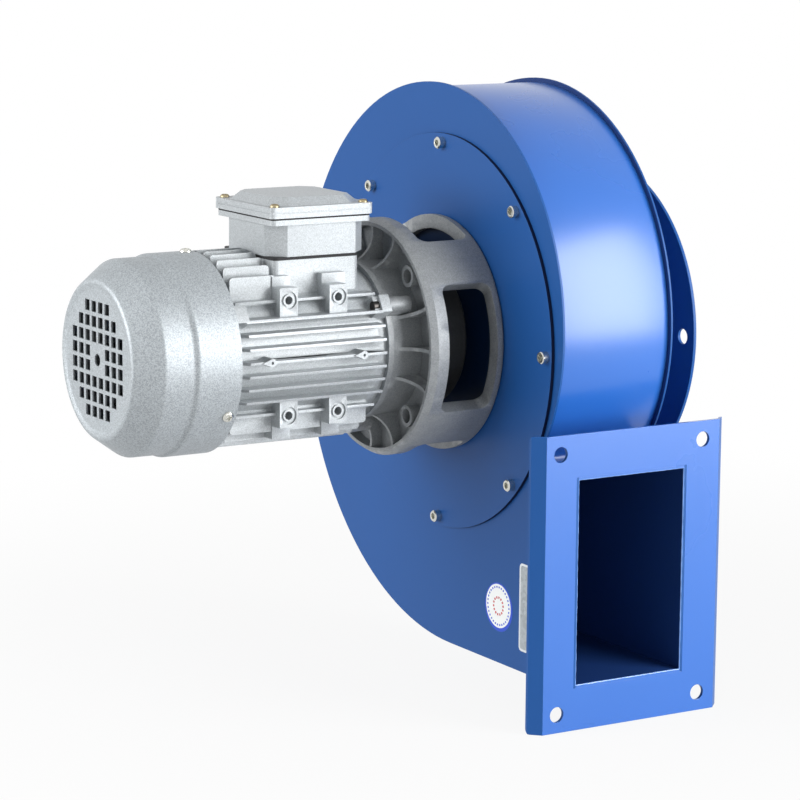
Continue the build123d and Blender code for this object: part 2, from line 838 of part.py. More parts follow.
with BuildPart() as drive_end_screws:
    with BuildSketch(across(frame_front_y - lug_seat)):
        with PolarLocations(lug_circle_r, lug_count, start_angle=lug_start):
            Circle(end_screw_head_r)
    extrude(amount=end_screw_head_h)
    with BuildSketch(across(frame_front_y - lug_seat)):
        with PolarLocations(lug_circle_r, lug_count, start_angle=lug_start):
            Circle(end_screw_r)
    extrude(amount=-(lug_seat + end_screw_grip))

# Rear end shield
rear_housing_r = rear_bearing_r + housing_wall
shield_back_y = frame_rear_y - rear_shield_t
cowl_inner_r = cowl_rim_r - cowl_t
cowl_screw_angles = [
    cowl_screw_start + turn * 360 / cowl_screw_count for turn in range(cowl_screw_count)
]
with BuildPart() as rear_end_shield:
    with BuildSketch(Plane.XY):
        band(rear_bearing_r, rear_shield_r, shield_back_y, frame_rear_y)
        band(bore_r - spigot_wall, bore_r - thread_play, frame_rear_y, rear_bearing_y)
        band(rear_bearing_r, rear_housing_r, housing_back_y, rear_bearing_y)
        band(
            rear_bearing_bore_r + housing_bore_play,
            rear_bearing_r,
            housing_back_y,
            housing_floor_y,
        )
    revolve(axis=Axis.Y)
    # Lugs for the screws into the frame, and ears that carry the cowl
    with BuildSketch(across(frame_rear_y)):
        with PolarLocations(lug_circle_r, lug_count, start_angle=lug_start):
            Circle(lug_boss_r)
    extrude(amount=rear_shield_t)
    with BuildSketch(across(frame_rear_y)):
        for angle in cowl_screw_angles:
            with Locations(Rotation(0, 0, angle)):
                with Locations((rear_shield_r, 0)):
                    Rectangle(2 * (cowl_rim_r - rear_shield_r), cowl_ear_width)
        Circle(cowl_inner_r, mode=Mode.INTERSECT)
    extrude(amount=rear_shield_t)
    with BuildSketch(across(frame_rear_y)):
        with PolarLocations(lug_circle_r, lug_count, start_angle=lug_start):
            Circle(end_screw_r + hole_play)
    extrude(amount=rear_shield_t, mode=Mode.SUBTRACT)
    for angle in cowl_screw_angles:
        with BuildSketch(radial(angle).offset(cowl_rim_r)):
            with Locations((frame_rear_y - rear_shield_t / 2, 0)):
                Circle(cowl_screw_r + thread_play)
        extrude(amount=-(cowl_screw_grip + hole_play), mode=Mode.SUBTRACT)

with BuildPart() as rear_end_screws:
    with BuildSketch(across(shield_back_y)):
        with PolarLocations(lug_circle_r, lug_count, start_angle=lug_start):
            Circle(end_screw_head_r)
    extrude(amount=end_screw_head_h)
    with BuildSketch(across(shield_back_y)):
        with PolarLocations(lug_circle_r, lug_count, start_angle=lug_start):
            Circle(end_screw_r)
    extrude(amount=-(rear_shield_t + end_screw_grip))

# Fan cowl: a pressed cap with a swage, a coned end and a recessed grille
with BuildPart() as fan_cowl:
    recess_y = cowl_face_y + cowl_recess
    with BuildSketch(Plane.XY):
        with BuildLine():
            FilletPolyline(
                (cowl_rim_r, cowl_rim_y),
                (cowl_rim_r, cowl_rim_y - cowl_swage_at),
                (cowl_body_r, cowl_rim_y - cowl_swage_at - cowl_swage_run),
                (cowl_corner_r, cowl_rim_y - cowl_corner_at),
                (cowl_face_r, cowl_face_y),
                (cowl_recess_r, recess_y),
                (0, recess_y),
                radius=cowl_edge_r,
            )
            Line((0, recess_y), (0, cowl_rim_y))
            Line((0, cowl_rim_y), (cowl_rim_r, cowl_rim_y))
        make_face()
    revolve(axis=Axis.Y)
    offset(amount=-cowl_t, openings=faces().sort_by(Axis.Y)[-1])
    columns = {0: 8, 1: 8, 2: 6, 3: 4}
    with BuildSketch(across(recess_y + 2 * cowl_t)):
        for row, count in columns.items():
            for side in (-1, 1):
                with Locations((0, side * (row + 0.5) * grille_pitch_z)):
                    with GridLocations(grille_pitch_x, grille_pitch_z, count, 1):
                        Rectangle(grille_hole_x, grille_hole_z)
        # The two middle rows leave the centre bare, but for a round hole
        Rectangle(2 * grille_pitch_x, 2 * grille_pitch_z, mode=Mode.SUBTRACT)
        Circle(grille_centre_r)
    extrude(amount=4 * cowl_t, mode=Mode.SUBTRACT)
    for angle in cowl_screw_angles:
        with BuildSketch(radial(angle).offset(cowl_inner_r - cowl_t)):
            with Locations((frame_rear_y - rear_shield_t / 2, 0)):
                Circle(cowl_screw_r + hole_play)
        extrude(amount=3 * cowl_t, mode=Mode.SUBTRACT)

with BuildPart() as cowl_screws:
    for angle in cowl_screw_angles:
        with BuildSketch(radial(angle).offset(cowl_rim_r)):
            with Locations((frame_rear_y - rear_shield_t / 2, 0)):
                Circle(cowl_screw_head_r)
        extrude(amount=cowl_screw_head_h)
        with BuildSketch(radial(angle).offset(cowl_rim_r)):
            with Locations((frame_rear_y - rear_shield_t / 2, 0)):
                Circle(cowl_screw_r)
        extrude(amount=-cowl_screw_grip)


# Terminal box
def box_outline(shrink):
    """Eight-sided outline of the terminal box, moved inwards by a wall."""
    Rectangle(2 * (box_half - shrink), 2 * (box_half_y - shrink))
    chamfer(vertices(), box_corner - shrink * (2 - sqrt(2)))


box_floor_z = turret_top + box_gasket_t
box_rim_z = box_floor_z + box_height
lid_gasket_z = box_rim_z + box_rim_t
lid_z = lid_gasket_z + lid_gasket_t
lid_top_z = lid_z + lid_t
lid_mid_y = box_mid_y + lid_shift
lid_screw_span_x = lid_x - 2 * lid_screw_inset
lid_screw_span_y = lid_y - 2 * lid_screw_inset

with BuildPart() as terminal_box_gasket:
    with BuildSketch(Plane((0, box_mid_y, turret_top))):
        with Locations((0, turret_mid_y - box_mid_y)):
            Rectangle(2 * turret_half_x, turret_length)
        fillet(vertices(), turret_corner_r)
        with Locations((0, lead_hole_shift)):
            Rectangle(lead_hole_x, lead_hole_y, mode=Mode.SUBTRACT)
        with GridLocations(box_screw_span, box_screw_span, 2, 2):
            Circle(lid_screw_r + hole_play, mode=Mode.SUBTRACT)
    extrude(amount=box_gasket_t)

with BuildPart() as terminal_box:
    with BuildSketch(Plane((0, box_mid_y, box_floor_z))):
        box_outline(0)
    extrude(amount=box_height)
    with BuildSketch(Plane((0, lid_mid_y, box_rim_z))):
        Rectangle(box_rim_x, box_rim_y)
        fillet(vertices(), lid_corner_r)
    extrude(amount=box_rim_t)
    with BuildSketch(Plane((0, box_mid_y, box_floor_z + box_wall))):
        box_outline(box_wall)
    extrude(amount=box_height + box_rim_t, mode=Mode.SUBTRACT)
    with BuildSketch(Plane((0, box_mid_y, box_floor_z))):
        with Locations((0, lead_hole_shift)):
            Rectangle(lead_hole_x, lead_hole_y)
        with GridLocations(box_screw_span, box_screw_span, 2, 2):
            Circle(lid_screw_r + hole_play)
    extrude(amount=box_wall, mode=Mode.SUBTRACT)
    with BuildSketch(Plane((0, lid_mid_y, box_rim_z))):
        with GridLocations(lid_screw_span_x, lid_screw_span_y, 2, 2):
            Circle(lid_screw_r + thread_play)
    extrude(amount=box_rim_t, mode=Mode.SUBTRACT)
    with BuildSketch(radial(180).offset(box_half)):
        with Locations((box_mid_y, -(box_floor_z + entry_plug_height))):
            Circle(entry_plug_r + thread_play)
    extrude(amount=-box_wall, mode=Mode.SUBTRACT)

with BuildPart() as terminal_box_screws:
    with BuildSketch(Plane((0, box_mid_y, box_floor_z + box_wall))):
        with GridLocations(box_screw_span, box_screw_span, 2, 2):
            Circle(lid_screw_head_r)
    extrude(amount=lid_screw_head_h)
    with BuildSketch(Plane((0, box_mid_y, box_floor_z + box_wall))):
        with GridLocations(box_screw_span, box_screw_span, 2, 2):
            Circle(lid_screw_r)
    extrude(amount=-(box_wall + box_gasket_t + box_screw_grip))

with BuildPart() as terminal_lid_gasket:
    with BuildSketch(Plane((0, lid_mid_y, lid_gasket_z))):
        Rectangle(box_rim_x, box_rim_y)
        fillet(vertices(), lid_corner_r)
        with BuildSketch(Plane((0, box_mid_y, lid_gasket_z)), mode=Mode.SUBTRACT):
            box_outline(box_wall)
        with GridLocations(lid_screw_span_x, lid_screw_span_y, 2, 2):
            Circle(lid_screw_r + hole_play, mode=Mode.SUBTRACT)
    extrude(amount=lid_gasket_t)

with BuildPart() as terminal_box_lid:
    with BuildSketch(Plane((0, lid_mid_y, lid_z))):
        Rectangle(lid_x, lid_y)
        fillet(vertices(), lid_corner_r)
    extrude(amount=lid_t)
    # A fine groove runs round the edge
    with BuildSketch(Plane((0, lid_mid_y, lid_z + (lid_t - lid_groove_h) / 2))):
        Rectangle(lid_x, lid_y)
        Rectangle(lid_x - 2 * lid_groove, lid_y - 2 * lid_groove, mode=Mode.SUBTRACT)
    extrude(amount=lid_groove_h, mode=Mode.SUBTRACT)
    # The crown stands clear of the screws at its cut corners
    with BuildSketch(Plane((0, lid_mid_y, lid_top_z))):
        Rectangle(lid_x - 2 * lid_crown_inset, lid_y - 2 * lid_crown_inset)
        chamfer(vertices(), lid_crown_corner)
    crown_inset = lid_crown_inset + lid_crown_bevel
    with BuildSketch(Plane((0, lid_mid_y, lid_top_z + lid_crown_h))):
        Rectangle(lid_x - 2 * crown_inset, lid_y - 2 * crown_inset)
        chamfer(vertices(), lid_crown_corner - lid_crown_bevel * (2 - sqrt(2)))
    loft()
    with BuildSketch(Plane((0, box_mid_y, lid_z))):
        box_outline(box_wall)
    extrude(amount=lid_t - lid_wall, mode=Mode.SUBTRACT)
    with BuildSketch(Plane((0, lid_mid_y, lid_z))):
        with GridLocations(lid_screw_span_x, lid_screw_span_y, 2, 2):
            Circle(lid_screw_r + hole_play)
    extrude(amount=lid_t, mode=Mode.SUBTRACT)

with BuildPart() as lid_screws:
    with BuildSketch(Plane((0, lid_mid_y, lid_top_z))):
        with GridLocations(lid_screw_span_x, lid_screw_span_y, 2, 2):
            Circle(lid_screw_head_r)
    extrude(amount=lid_screw_head_h)
    with BuildSketch(Plane((0, lid_mid_y, lid_top_z))):
        with GridLocations(lid_screw_span_x, lid_screw_span_y, 2, 2):
            Circle(lid_screw_r)
    extrude(amount=-(lid_t + lid_gasket_t + box_rim_t))

with BuildPart() as cable_entry_plug:
    with BuildSketch(radial(180).offset(box_half)):
        with Locations((box_mid_y, -(box_floor_z + entry_plug_height))):
            RegularPolygon(entry_plug_across / 2, 6, major_radius=False)
    extrude(amount=entry_plug_t)
    with BuildSketch(radial(180).offset(box_half)):
        with Locations((box_mid_y, -(box_floor_z + entry_plug_height))):
            Circle(entry_plug_r)
    extrude(amount=-box_wall)

with BuildPart() as terminal_block:
    block_floor = (0, box_mid_y + terminal_shift, box_floor_z + box_wall)
    with BuildSketch(Plane(block_floor)):
        Rectangle(terminal_x, terminal_y)
    extrude(amount=terminal_h)
    with BuildSketch(Plane(block_floor).offset(terminal_h)):
        for barrier in (-0.5, 0.5):
            with Locations((barrier * terminal_pitch, 0)):
                Rectangle(1.5, terminal_y)
    extrude(amount=stud_h / 2)
    with BuildSketch(Plane(block_floor).offset(terminal_h)):
        with GridLocations(terminal_pitch, terminal_row, 3, 2):
            Circle(stud_r)
    extrude(amount=-terminal_h / 2, mode=Mode.SUBTRACT)

with BuildPart() as terminal_studs:
    with BuildSketch(Plane(block_floor).offset(terminal_h / 2)):
        with GridLocations(terminal_pitch, terminal_row, 3, 2):
            Circle(stud_r)
    extrude(amount=terminal_h / 2 + stud_h)
    with BuildSketch(Plane(block_floor).offset(terminal_h)):
        with GridLocations(terminal_pitch, terminal_row, 3, 2):
            RegularPolygon(stud_r * 1.9, 6)
    extrude(amount=stud_r * 1.6)


# Ball bearings
def ring_section(inner, outer, pitch_r, ball_r, back, front):
    """Section of one bearing ring with its ball groove."""
    band(inner, outer, back, front)
    with Locations((pitch_r, (back + front) / 2)):
        Circle(ball_r + ball_play, mode=Mode.SUBTRACT)


front_pitch_r = (front_bearing_bore_r + front_bearing_r) / 2
front_bearing_back_y = web_back_y - front_bearing_width
rear_pitch_r = (rear_bearing_bore_r + rear_bearing_r) / 2
with BuildPart() as front_bearing_outer:
    with BuildSketch(Plane.XY):
        ring_section(
            front_pitch_r + race_half_gap,
            front_bearing_r,
            front_pitch_r,
            front_ball_r,
            front_bearing_back_y,
            web_back_y,
        )
    revolve(axis=Axis.Y)

with BuildPart() as front_bearing_inner:
    with BuildSketch(Plane.XY):
        ring_section(
            front_bearing_bore_r,
            front_pitch_r - race_half_gap,
            front_pitch_r,
            front_ball_r,
            front_bearing_back_y,
            web_back_y,
        )
    revolve(axis=Axis.Y)

with BuildPart() as front_bearing_balls:
    with Locations(across((front_bearing_back_y + web_back_y) / 2)):
        with PolarLocations(front_pitch_r, ball_count):
            Sphere(front_ball_r)

with BuildPart() as rear_bearing_outer:
    with BuildSketch(Plane.XY):
        ring_section(
            rear_pitch_r + race_half_gap,
            rear_bearing_r,
            rear_pitch_r,
            rear_ball_r,
            spring_y,
            rear_bearing_y,
        )
    revolve(axis=Axis.Y)

with BuildPart() as rear_bearing_inner:
    with BuildSketch(Plane.XY):
        ring_section(
            rear_bearing_bore_r,
            rear_pitch_r - race_half_gap,
            rear_pitch_r,
            rear_ball_r,
            spring_y,
            rear_bearing_y,
        )
    revolve(axis=Axis.Y)

with BuildPart() as rear_bearing_balls:
    with Locations(across((spring_y + rear_bearing_y) / 2)):
        with PolarLocations(rear_pitch_r, ball_count):
            Sphere(rear_ball_r)

with BuildPart() as preload_spring:
    with BuildSketch(Plane.XY):
        band(rear_pitch_r + race_half_gap, rear_bearing_r, housing_floor_y, spring_y)
    revolve(axis=Axis.Y)

# Stator and rotor
slot_depth = slot_outer_r - slot_inner_r
slot_mid_r = (slot_outer_r + slot_inner_r) / 2
with BuildPart() as stator_core:
    with BuildSketch(across(stator_front_y)):
        Circle(bore_r)
        Circle(stator_bore_r, mode=Mode.SUBTRACT)
        with PolarLocations(slot_mid_r, slot_count):
            Rectangle(slot_depth, slot_width, mode=Mode.SUBTRACT)
    extrude(amount=stator_length)

with BuildPart() as stator_windings:
    with BuildSketch(across(stator_front_y)):
        with PolarLocations(slot_mid_r, slot_count):
            Rectangle(slot_depth - 2 * winding_play, slot_width - 2 * winding_play)
    extrude(amount=stator_length)
    for low in (stator_front_y, stator_rear_y - winding_overhang):
        with BuildSketch(Plane.XY):
            band(slot_inner_r + winding_play, slot_outer_r, low, low + winding_overhang)
            fillet(vertices().group_by(Axis.X)[-1], winding_overhang / 4)
        revolve(axis=Axis.Y)

rotor_r = stator_bore_r - air_gap
with BuildPart() as rotor_core:
    with BuildSketch(across(stator_front_y)):
        Circle(rotor_r)
        Circle(rotor_seat_r, mode=Mode.SUBTRACT)
    extrude(amount=stator_length)

with BuildPart() as rotor_end_rings:
    for low in (stator_front_y, stator_rear_y - end_ring_l):
        with BuildSketch(Plane.XY):
            band(end_ring_inner_r, rotor_r - 1.0, low, low + end_ring_l)
        revolve(axis=Axis.Y)

# Shaft, stepped from the fan seat to the impeller seat
shaft_front_y = hub_front_y - washer_t
with BuildPart() as shaft:
    with BuildSketch(Plane.XY):
        band(0, fan_seat_r, shaft_rear_y, fan_front_y)
        band(0, rear_bearing_bore_r, fan_front_y, rear_bearing_y)
        band(0, rotor_seat_r, rear_bearing_y, front_bearing_back_y)
        band(0, front_bearing_bore_r, front_bearing_back_y, web_back_y)
        band(0, extension_r, web_back_y, hub_back_y)
        band(0, impeller_seat_r, hub_back_y, shaft_front_y)
    revolve(axis=Axis.Y)
    clip_groove_r = fan_seat_r - clip_groove_depth
    with BuildSketch(Plane.XY):
        band(clip_groove_r, fan_seat_r, fan_back_y - clip_t, fan_back_y)
    revolve(axis=Axis.Y, mode=Mode.SUBTRACT)
    with BuildSketch(across(shaft_front_y)):
        Circle(bolt_r)
    extrude(amount=bolt_grip + bolt_r, mode=Mode.SUBTRACT)
    key_mid_y = (hub_back_y + hub_front_y) / 2
    key_floor_z = impeller_seat_r - key_depth
    with BuildSketch(Plane((0, key_mid_y, key_floor_z))):
        Rectangle(key_width, key_length)
    extrude(amount=key_height, mode=Mode.SUBTRACT)

with BuildPart() as impeller_key:
    with BuildSketch(Plane((0, key_mid_y, key_floor_z))):
        Rectangle(key_width, key_length)
    extrude(amount=key_height)

# Impeller
with BuildPart() as impeller_hub:
    with BuildSketch(Plane.XY):
        band(impeller_seat_r, hub_r, hub_back_y, hub_front_y)
        band(impeller_seat_r, hub_flange_r, backplate_y - hub_flange_t, backplate_y)
    revolve(axis=Axis.Y)
    with BuildSketch(Plane((0, key_mid_y, key_floor_z))):
        Rectangle(key_width, hub_length)
    extrude(amount=key_height + key_top_play, mode=Mode.SUBTRACT)
    with BuildSketch(across(backplate_y)):
        with PolarLocations(rivet_circle_r, rivet_count):
            Circle(rivet_r)
    extrude(amount=hub_flange_t, mode=Mode.SUBTRACT)

with BuildPart() as impeller_backplate:
    with BuildSketch(across(blade_root_y)):
        Circle(impeller_r)
        Circle(hub_r, mode=Mode.SUBTRACT)
        with PolarLocations(rivet_circle_r, rivet_count):
            Circle(rivet_r, mode=Mode.SUBTRACT)
    extrude(amount=backplate_t)

with BuildPart() as impeller_rivets:
    for top in (blade_root_y + rivet_head_h, backplate_y - hub_flange_t):
        with BuildSketch(across(top)):
            with PolarLocations(rivet_circle_r, rivet_count):
                Circle(rivet_head_r)
        extrude(amount=rivet_head_h)
    with BuildSketch(across(blade_root_y)):
        with PolarLocations(rivet_circle_r, rivet_count):
            Circle(rivet_r)
    extrude(amount=backplate_t + hub_flange_t)


def swept_point(radius, sweep):
    """Point of a blade's camber line, trailing the turning direction by its sweep."""
    return (radius * cos(radians(sweep)), -radius * sin(radians(sweep)))


# Backward-curved blades, trimmed to the slope of the shroud
blade_mid_r = (blade_inner_r + impeller_r) / 2
with BuildPart() as impeller_blades:
    with BuildSketch(across(shroud_eye_y)):
        with BuildLine():
            ThreePointArc(
                swept_point(blade_inner_r, 0),
                swept_point(blade_mid_r, blade_mid_sweep),
                swept_point(impeller_r, blade_sweep),
            )
        trace(line_width=blade_t)
    extrude(amount=blade_width_inner)
    with BuildSketch(Plane.XY):
        with BuildLine():
            Polyline(
                (hub_r, blade_root_y),
                (impeller_r, blade_root_y),
                (impeller_r, shroud_tip_y),
                (eye_r, shroud_eye_y),
                (hub_r, shroud_eye_y),
                close=True,
            )
        make_face()
    revolve(axis=Axis.Y, mode=Mode.INTERSECT)
    first_blade = impeller_blades.part
    for turn in range(1, blade_count):
        add(first_blade.rotate(Axis.Y, turn * 360 / blade_count))

with BuildPart() as impeller_shroud:
    with BuildSketch(Plane.XY):
        with BuildLine():
            Polyline(
                (impeller_r, shroud_tip_y),
                (eye_r, shroud_eye_y),
                (eye_r, eye_end_y),
                (eye_r + shroud_t, eye_end_y),
                (eye_r + shroud_t, shroud_eye_y + shroud_t),
                (impeller_r, shroud_tip_y + shroud_t),
                close=True,
            )
        make_face()
    revolve(axis=Axis.Y)

with BuildPart() as impeller_washer:
    with BuildSketch(across(hub_front_y + washer_t)):
        Circle(washer_r)
        Circle(bolt_r + hole_play, mode=Mode.SUBTRACT)
    extrude(amount=washer_t)

with BuildPart() as impeller_bolt:
    with BuildSketch(across(hub_front_y + washer_t)):
        RegularPolygon(bolt_across / 2, 6, major_radius=False)
    extrude(amount=-bolt_head_h)
    with BuildSketch(across(hub_front_y + washer_t)):
        Circle(bolt_r)
    extrude(amount=2 * washer_t + bolt_grip)

# Cooling fan on the rear of the shaft
with BuildPart() as cooling_fan:
    with BuildSketch(Plane.XY):
        band(fan_seat_r, fan_hub_r, fan_back_y, fan_front_y)
        band(fan_seat_r, fan_r, fan_front_y - fan_disc_t, fan_front_y)
    revolve(axis=Axis.Y)
    with BuildSketch(across(fan_front_y - fan_disc_t)):
        with PolarLocations((fan_hub_r + fan_r) / 2, fan_blade_count):
            Rectangle(fan_r - fan_hub_r + fan_blade_t, fan_blade_t)
        Circle(fan_r, mode=Mode.INTERSECT)
    extrude(amount=fan_blade_h)

with BuildPart() as fan_clip:
    with BuildSketch(across(fan_back_y)):
        Circle(clip_r)
        Circle(clip_groove_r, mode=Mode.SUBTRACT)
    extrude(amount=clip_t)

pieces = {
    "front_side_plate": front_side_plate,
    "rear_side_plate": rear_side_plate,
    "scroll_wrapper": scroll_wrapper,
    "outlet_flange": outlet_flange,
    "inlet_collar": inlet_collar,
    "inlet_flange": inlet_flange,
    "inlet_cone": inlet_cone,
    "motor_plate": motor_plate,
    "motor_plate_screws": motor_plate_screws,
    "motor_plate_nuts": motor_plate_nuts,
    "lantern_screws": lantern_screws,
    "shaft_seal": shaft_seal,
    "drive_end_shield": drive_end_shield,
    "drive_end_screws": drive_end_screws,
    "motor_frame": motor_frame,
    "rear_end_shield": rear_end_shield,
    "rear_end_screws": rear_end_screws,
    "fan_cowl": fan_cowl,
    "cowl_screws": cowl_screws,
    "terminal_box_gasket": terminal_box_gasket,
    "terminal_box": terminal_box,
    "terminal_box_screws": terminal_box_screws,
    "terminal_lid_gasket": terminal_lid_gasket,
    "terminal_box_lid": terminal_box_lid,
    "lid_screws": lid_screws,
    "cable_entry_plug": cable_entry_plug,
    "terminal_block": terminal_block,
    "terminal_studs": terminal_studs,
    "front_bearing_outer": front_bearing_outer,
    "front_bearing_inner": front_bearing_inner,
    "front_bearing_balls": front_bearing_balls,
    "rear_bearing_outer": rear_bearing_outer,
    "rear_bearing_inner": rear_bearing_inner,
    "rear_bearing_balls": rear_bearing_balls,
    "preload_spring": preload_spring,
    "stator_core": stator_core,
    "stator_windings": stator_windings,
    "rotor_core": rotor_core,
    "rotor_end_rings": rotor_end_rings,
    "shaft": shaft,
    "impeller_key": impeller_key,
    "impeller_hub": impeller_hub,
    "impeller_backplate": impeller_backplate,
    "impeller_rivets": impeller_rivets,
    "impeller_blades": impeller_blades,
    "impeller_shroud": impeller_shroud,
    "impeller_washer": impeller_washer,
    "impeller_bolt": impeller_bolt,
    "cooling_fan": cooling_fan,
    "fan_clip": fan_clip,
}
for name, piece in pieces.items():
    piece.part.label = name
    export_step(piece.part, "parts/" + name + ".step")
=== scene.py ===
"""Looks of a small induced draft fan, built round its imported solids.

The fan has a welded scroll casing in blue powder coat, and a finned flange motor in silver
paint that turns an overhung impeller. The frame is that of the solids: the inlet flange's face
is at the origin, the shaft runs along Y with the motor at negative Y, the outlet blows towards
+X and Z is up. Sizes of the fan are in millimetres, and meshes, finishes and the studio are in
metres.
"""

from __future__ import annotations

import json
import logging
import math
from dataclasses import dataclass, replace
from enum import Enum
from typing import Any, Callable, Sequence

import bmesh
import bpy
import numpy as np
from mathutils import Matrix, Vector

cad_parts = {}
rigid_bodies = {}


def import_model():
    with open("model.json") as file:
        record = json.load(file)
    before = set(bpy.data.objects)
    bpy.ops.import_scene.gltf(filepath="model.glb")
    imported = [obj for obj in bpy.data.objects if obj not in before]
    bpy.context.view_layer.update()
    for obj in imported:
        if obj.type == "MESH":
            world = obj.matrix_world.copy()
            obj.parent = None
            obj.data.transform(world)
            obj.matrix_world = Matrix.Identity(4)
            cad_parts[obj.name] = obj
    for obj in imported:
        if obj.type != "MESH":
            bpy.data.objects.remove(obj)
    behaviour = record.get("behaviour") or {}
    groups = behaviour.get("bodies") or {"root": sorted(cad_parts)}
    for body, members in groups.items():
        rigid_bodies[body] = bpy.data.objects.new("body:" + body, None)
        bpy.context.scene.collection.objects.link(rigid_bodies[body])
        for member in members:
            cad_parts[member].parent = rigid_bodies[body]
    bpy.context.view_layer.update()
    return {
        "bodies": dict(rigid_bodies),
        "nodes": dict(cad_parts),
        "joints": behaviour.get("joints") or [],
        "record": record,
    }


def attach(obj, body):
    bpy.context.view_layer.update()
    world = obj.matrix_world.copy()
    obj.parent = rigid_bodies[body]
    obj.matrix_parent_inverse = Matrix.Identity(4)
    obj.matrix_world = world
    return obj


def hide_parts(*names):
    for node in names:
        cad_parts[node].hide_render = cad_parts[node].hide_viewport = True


LOG = logging.getLogger("induced_draft_fan")
MM = 0.001
FULL_TURN = 2 * math.pi
WHITE = (1.0, 1.0, 1.0, 1.0)
Colour = tuple[float, float, float]
Point = tuple[float, float]
Place = tuple[float, float, float]
Feeds = dict[str | int, Any]


class Body(Enum):
    """The two rigid bodies of the fan."""

    CASING = "casing"
    ROTOR = "rotor"


class Slot(Enum):
    """The record's material slots, passed along with new pieces but not used."""

    CASING = "casing_paint"
    MOTOR = "motor_paint"
    SHIELD = "shield_casting"
    ZINC = "zinc_hardware"
    BRASS = "brass_screws"
    SHEET = "impeller_steel"
    SHAFT = "shaft_steel"


class Drive(Enum):
    """How a screw's head is driven."""

    SOCKET = "hexagon socket"
    CROSS = "cross recess"


def linear(red: int, green: int, blue: int) -> Colour:
    """Turn an 8-bit screen colour into the linear one that shaders use.

    Args:
        red: Red, 0 to 255.
        green: Green, 0 to 255.
        blue: Blue, 0 to 255.

    Returns:
        The linear colour.
    """
    screen = np.array([red, green, blue]) / 255
    light = np.where(screen <= 0.04045, screen / 12.92, ((screen + 0.055) / 1.055) ** 2.4)
    return tuple(float(part) for part in light)


class Wiring:
    """Adds shader nodes to one tree and fills their inputs."""

    def __init__(self, tree: bpy.types.NodeTree) -> None:
        """Keep the tree that the nodes go into."""
        self.tree = tree

    def feed(self, node: bpy.types.Node, feeds: Feeds) -> None:
        """Fill a node's inputs: a socket is joined, and any other value is set.

        Args:
            node: The node.
            feeds: What goes into each input, by the input's name or number.
        """
        for key, value in feeds.items():
            if isinstance(value, bpy.types.NodeSocket):
                self.tree.links.new(value, node.inputs[key])
            else:
                node.inputs[key].default_value = value

    def add(self, kind: str, feeds: Feeds | None = None, **settings: Any) -> bpy.types.Node:
        """Add a shader node.

        Args:
            kind: Its type, without the leading ShaderNode.
            feeds: What goes into its inputs.
            **settings: Its settings, such as an operation.

        Returns:
            The node.
        """
        node = self.tree.nodes.new("ShaderNode" + kind)
        for label, value in settings.items():
            setattr(node, label, value)
        self.feed(node, feeds or {})
        return node

    def calculate(
        self, operation: str, *terms: Any, clamp: bool = False
    ) -> bpy.types.NodeSocket:
        """Add a Math node.

        Args:
            operation: What it does with its terms.
            *terms: Sockets or numbers.
            clamp: Whether the result is kept between 0 and 1.

        Returns:
            The socket with the result.
        """
        feeds = dict(enumerate(terms))
        return self.add("Math", feeds, operation=operation, use_clamp=clamp).outputs[0]


